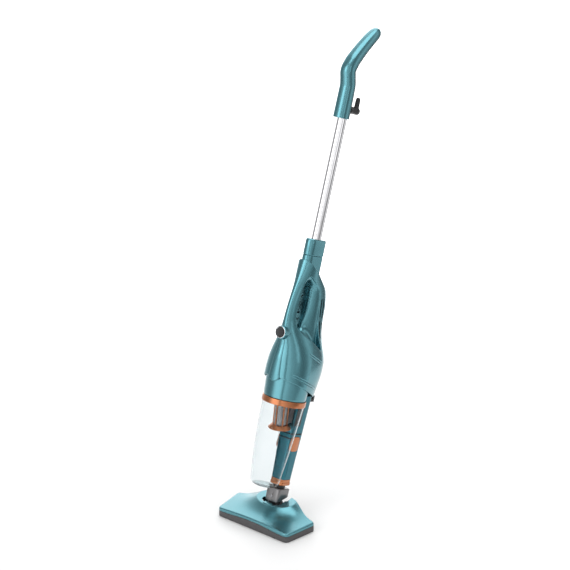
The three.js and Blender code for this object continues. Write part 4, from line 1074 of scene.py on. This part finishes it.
def build_bristles():
    """Each strip is a spine with rows of thin tufts."""
    for y, word in zip(BRISTLE_Y, ("front", "rear")):
        verts, faces = [], []

        def prism(x0, x1, y0, y1, z0, z1, lean=0.0):
            base = len(verts)
            for z, shift in ((z0, lean), (z1, 0.0)):
                corners = ((x0, y0), (x1, y0), (x1, y1), (x0, y1))
                verts.extend([(x + shift, y, z) for x, y in corners])
            for face in BLOCK_FACES:
                faces.append(tuple(base + i for i in face))

        prism(-89.5, 89.5, y - 2.2, y + 2.2, 2.6, 4.7)
        for x in np.arange(-88, 88.1, 1.6):
            for row in (-1.0, 0.0, 1.0):
                lean = rng.uniform(-0.4, 0.4)
                px = x + rng.uniform(-0.25, 0.25)
                tip = 0.3 + rng.uniform(0, 0.2)
                prism(px - 0.35, px + 0.35, y + row - 0.3, y + row + 0.3, tip, 2.65, lean)
        made = mesh_object("bristles", verts, faces)
        node = f"bristle_strip_{word}"
        piece(made, f"bristle_row_{word}", "floor_head", "bristle", [node], OBJECT)


def build_wheels():
    for side, word in ((-1, "left"), (1, "right")):
        half = WHEEL_W / 2
        profile = rounded([
            (1.9, -half), (5, -half), (5, -half + 1), (6.6, -half + 1), (6.6, -half), (WHEEL_R, -half),
            (WHEEL_R, half), (6.6, half), (6.6, half - 1), (5, half - 1), (5, half), (1.9, half),
        ], 0.5)
        wheel = turned("wheel", profile, n=64)
        place = Matrix.Translation((side * WHEEL_X, WHEEL_Y, WHEEL_R))
        moved(wheel, place @ Matrix.Rotation(math.pi / 2, 4, "Y"))
        piece(wheel, f"roller_{word}", f"wheel_{word}", "black", [f"wheel_{word}"], OBJECT, look=RUBBER)


# ---- Rod, handle and hooks ---------------------------------------------------------------------
HANDLE = [
    (64.3, 846, 17.4, 16.3), (64.3, 885, 17.2, 16.2), (64.8, 915, 16.6, 16), (70, 933, 16.2, 15.8),
    (74.5, 948, 16.5, 15.6), (68, 966, 16, 15.4), (56, 984, 15.2, 15), (40, 1004, 14.4, 14.5),
    (24, 1022, 13.8, 14), (10, 1036, 13, 13), (2, 1043.5, 10.5, 10.8), (-3, 1048, 5.5, 6),
]


def handle_rings(start, end, more=0.0, n=64, count=100):
    """Rings of the handle between two angles round its middle line, counted from the front."""
    table = np.array(HANDLE, float)
    run = np.concatenate([[0], np.cumsum(np.linalg.norm(np.diff(table[:, :2], axis=0), axis=1))])
    at = np.linspace(0, run[-1], count)
    f, s, depth, width = (pchip(run, table[:, k], at) for k in range(4))
    tangent = np.stack([np.gradient(f, at), np.gradient(s, at)], -1)
    tangent /= np.linalg.norm(tangent, axis=1)[:, None]
    full = end - start == 360
    angle = np.radians(np.linspace(start, end, n, endpoint=not full))
    power = 2.5
    cosine = np.sign(np.cos(angle)) * np.abs(np.cos(angle)) ** (2 / power)
    sine = np.sign(np.sin(angle)) * np.abs(np.sin(angle)) ** (2 / power)
    rings = []
    for i in range(count):
        out_f, out_s = tangent[i, 1], -tangent[i, 0]
        reach = (depth[i] + more) * cosine
        x = (width[i] + more) * sine
        rings.append(np.stack([x, -(f[i] + reach * out_f), s[i] + reach * out_s], -1))
    return rings


def build_rod():
    connector = loft("connector", [stub_ring(STUB_TOP + s, inset) for s, inset in (
        (GAP, 1.0), (1.0, 0.25), (1.8, 0), (31.5, 0), (34, 0.4), (35.4, 1.2), (36, 2.4))])
    join(connector, rod("plug", 12, 506, STUB_TOP + 2, 0, -TUBE_F, 0.8))
    cut(connector, rod("socket", TUBE_D / 2 + GAP, TUBE_LOW, 600, 0, -TUBE_F))
    piece(connector, "tube_connector", "rod", "teal", ["rod_connector"])
    r = TUBE_D / 2
    low = TUBE_LOW + GAP
    wall = [(r, low), (r, TUBE_HIGH), (r - 1, TUBE_HIGH), (r - 1, low)]
    tube = turned("tube", wall, 0, -TUBE_F, 128)
    piece(tube, "extension_tube", "rod", "chrome", ["chrome_tube"])

    bore = (TUBE_D / 2 + GAP, 800, TUBE_HIGH + 0.5, 0, -TUBE_F)
    front = cut(loft("handle", handle_rings(-SEAM, SEAM)), rod("bore", *bore))
    remeshed(front, FINE, 3)
    piece(front, "handle_moulding", "rod", "teal", ["handle_shell"], sharp=50)
    rear = cut(loft("grip", handle_rings(SEAM + 2.5, 360 - SEAM - 2.5)), rod("bore", *bore))
    remeshed(rear, FINE, 3)
    piece(rear, "grip_strip", "rod", "rubber", ["handle_grip"], sharp=50)

    profile = [(10.5, -46.5), (10.3, -44), (9, -38), (8.1, -34), (8, -23.4), (7.4, -22.6)]
    base = along_y(turned("base", profile, ring=False), 0, HOOK_S)
    cut(base, loft("room", handle_rings(0, 360, 0.3)))
    cut(base, along_y(rod("pin_room", 2.2, -50, -10), 0, HOOK_S))
    piece(base, "hook_root", "rod", "black", ["hook_base"])
    hub = along_y(rod("hub", 8, -22.2, -11, edge=1.0), 0, HOOK_S)
    profile = [(5.8, 0), (5.6, 8), (5.3, 24), (4.6, 27.5), (3.2, 29.4), (1.2, 30)]
    profile = [(radius, HOOK_S + up) for radius, up in profile]
    finger = turned("finger", profile, 0, -16.5, 48, ring=False)
    join(hub, finger)
    remeshed(hub, 0.5, 5)
    join(hub, along_y(rod("pin", 1.9, -32, -20), 0, HOOK_S))
    piece(hub, "winding_hook", "cord_hook", "black", ["cord_hook"])


def build_small_parts():
    hook = join(
        block("hook", -8, 8, 28.2, 48, 216, 222),
        block("lip", -8, 8, 44, 49.5, 216, 230),
        block("root", -8, 8, 28.2, 31, 212, 230),
    )
    piece(bevelled(hook, 1.2), "lower_hook_moulding", "handheld", "black", ["lower_cord_hook"])
    latch = block("latch", -6, 6, -43.6, -36.6, LATCH_S - 8, LATCH_S + 8)
    piece(bevelled(latch, 1.0), "latch_key", "rod_latch", "black", ["rod_latch_button"])
    profile = [(3, 474), (4.3, 474), (4.3, 495.7), (5.6, 495.7), (4.8, 503), (3, 503)]
    gland = turned("gland", rounded(profile, 0.4), 0, -GLAND_F, 48)
    piece(gland, "lead_gland", "handheld", "rubber", ["cord_gland"])


# ---- Stage -----------------------------------------------------------------------------------
# The brightness of the studio's walls, by direction in degrees from +X towards +Y.
STUDIO = [
    (-180, 0.3), (-152, 0.16), (-130, 0.2), (-112, 1.0), (-78, 1.0), (-75, 0.03), (-68, 0.03),
    (-65, 0.8), (-45, 0.45), (-15, 0.26), (12, 0.12), (30, 0.22), (45, 0.6), (58, 0.22),
    (76, 0.1), (84, 0.14), (100, 0.8), (118, 1.0), (143, 1.0), (160, 0.5), (180, 0.3),
]


FLOOR_R, FLOOR_Y = 0.85, 0.15  # in metres


def build_stage():
    floor = loft("floor", [circle(FLOOR_R, z, 0, FLOOR_Y) for z in (-0.02, -0.0005)])
    made = Nodes("pale_floor")
    made.colour(made.noise(3, 2), [(0.3, (0.9, 0.9, 0.9)), (0.7, (0.93, 0.93, 0.93))])
    made.set(Roughness=0.6)
    floor.data.materials.append(made.material)

    world = bpy.data.worlds.new("studio")
    scene.world = world
    world.use_nodes = True
    sky = Tree(world.node_tree)
    apart = sky.add("ShaderNodeSeparateXYZ")
    sky.link(sky.add("ShaderNodeTexCoord").outputs["Generated"], apart.inputs["Vector"])
    turn = sky.add("ShaderNodeMath", operation="ARCTAN2")
    sky.link(apart.outputs["Y"], turn.inputs[0])
    sky.link(apart.outputs["X"], turn.inputs[1])
    share = sky.add("ShaderNodeMapRange", From_Min=-math.pi, From_Max=math.pi)
    sky.link(turn.outputs["Value"], share.inputs["Value"])
    stops = [((degrees + 180) / 360, (value, value, value)) for degrees, value in STUDIO]
    mix = sky.add("ShaderNodeMix", data_type="RGBA")
    ceiling = sky.ramp(apart.outputs["Z"], [(0.72, (0, 0, 0)), (0.93, (1, 1, 1))])
    sky.link(ceiling, mix.inputs["Factor"])
    sky.link(sky.ramp(share.outputs["Result"], stops), mix.inputs[6])
    mix.inputs[7].default_value = (0.26, 0.26, 0.26, 1)
    background = sky.tree.nodes["Background"]
    sky.link(mix.outputs[2], background.inputs["Color"])
    background.inputs["Strength"].default_value = 2.0

    for name, place, target, size, power in (
        ("key", (-1.2, -3.2, 2.6), (0, 0.15, 0.5), (1.2, 2.4), 14),
        ("fill", (3.4, -0.4, 1.8), (0, 0.15, 0.5), (0.9, 2.2), 6),
        ("top", (0.3, 0.6, 3.6), (0, 0.3, 0.0), (2.6, 2.6), 46),
    ):
        light = bpy.data.lights.new(name, "AREA")
        light.shape = "RECTANGLE"
        light.size, light.size_y = size
        light.energy = power
        lamp = bpy.data.objects.new(name, light)
        scene.collection.objects.link(lamp)
        lamp.location = place
        lamp.rotation_euler = (Vector(target) - Vector(place)).to_track_quat("-Z", "Y").to_euler()


def build_camera():
    """The viewer stands to the front right of the machine and looks down at it."""
    azimuth, distance, height = math.radians(40.5), 3.358, 1.853
    pitch, yaw = math.radians(21.0), math.radians(0.8)
    ahead = Vector((-math.sin(azimuth), math.cos(azimuth), 0))
    right = Vector((math.cos(azimuth), math.sin(azimuth), 0))
    ahead, right = (
        math.cos(yaw) * ahead + math.sin(yaw) * right,
        math.cos(yaw) * right - math.sin(yaw) * ahead,
    )
    forward = math.cos(pitch) * ahead - math.sin(pitch) * Vector((0, 0, 1))
    up = right.cross(forward)
    data = bpy.data.cameras.new("camera")
    data.sensor_width = 36
    data.lens = 108.0631579
    camera = bpy.data.objects.new("camera", data)
    scene.collection.objects.link(camera)
    turn = Matrix((right, up, -forward)).transposed()
    place = Vector((math.sin(azimuth) * distance, -math.cos(azimuth) * distance, height))
    camera.matrix_world = Matrix.Translation(place) @ turn.to_4x4()
    scene.camera = camera
    scene.view_settings.view_transform = "Standard"


build_camera()
build_stage()
build_shell()
build_ridge()
build_button()
build_chamber()
build_cup()
build_cyclone()
build_duct()
build_neck()
build_cover()
build_sole()
build_bristles()
build_wheels()
build_rod()
build_small_parts()
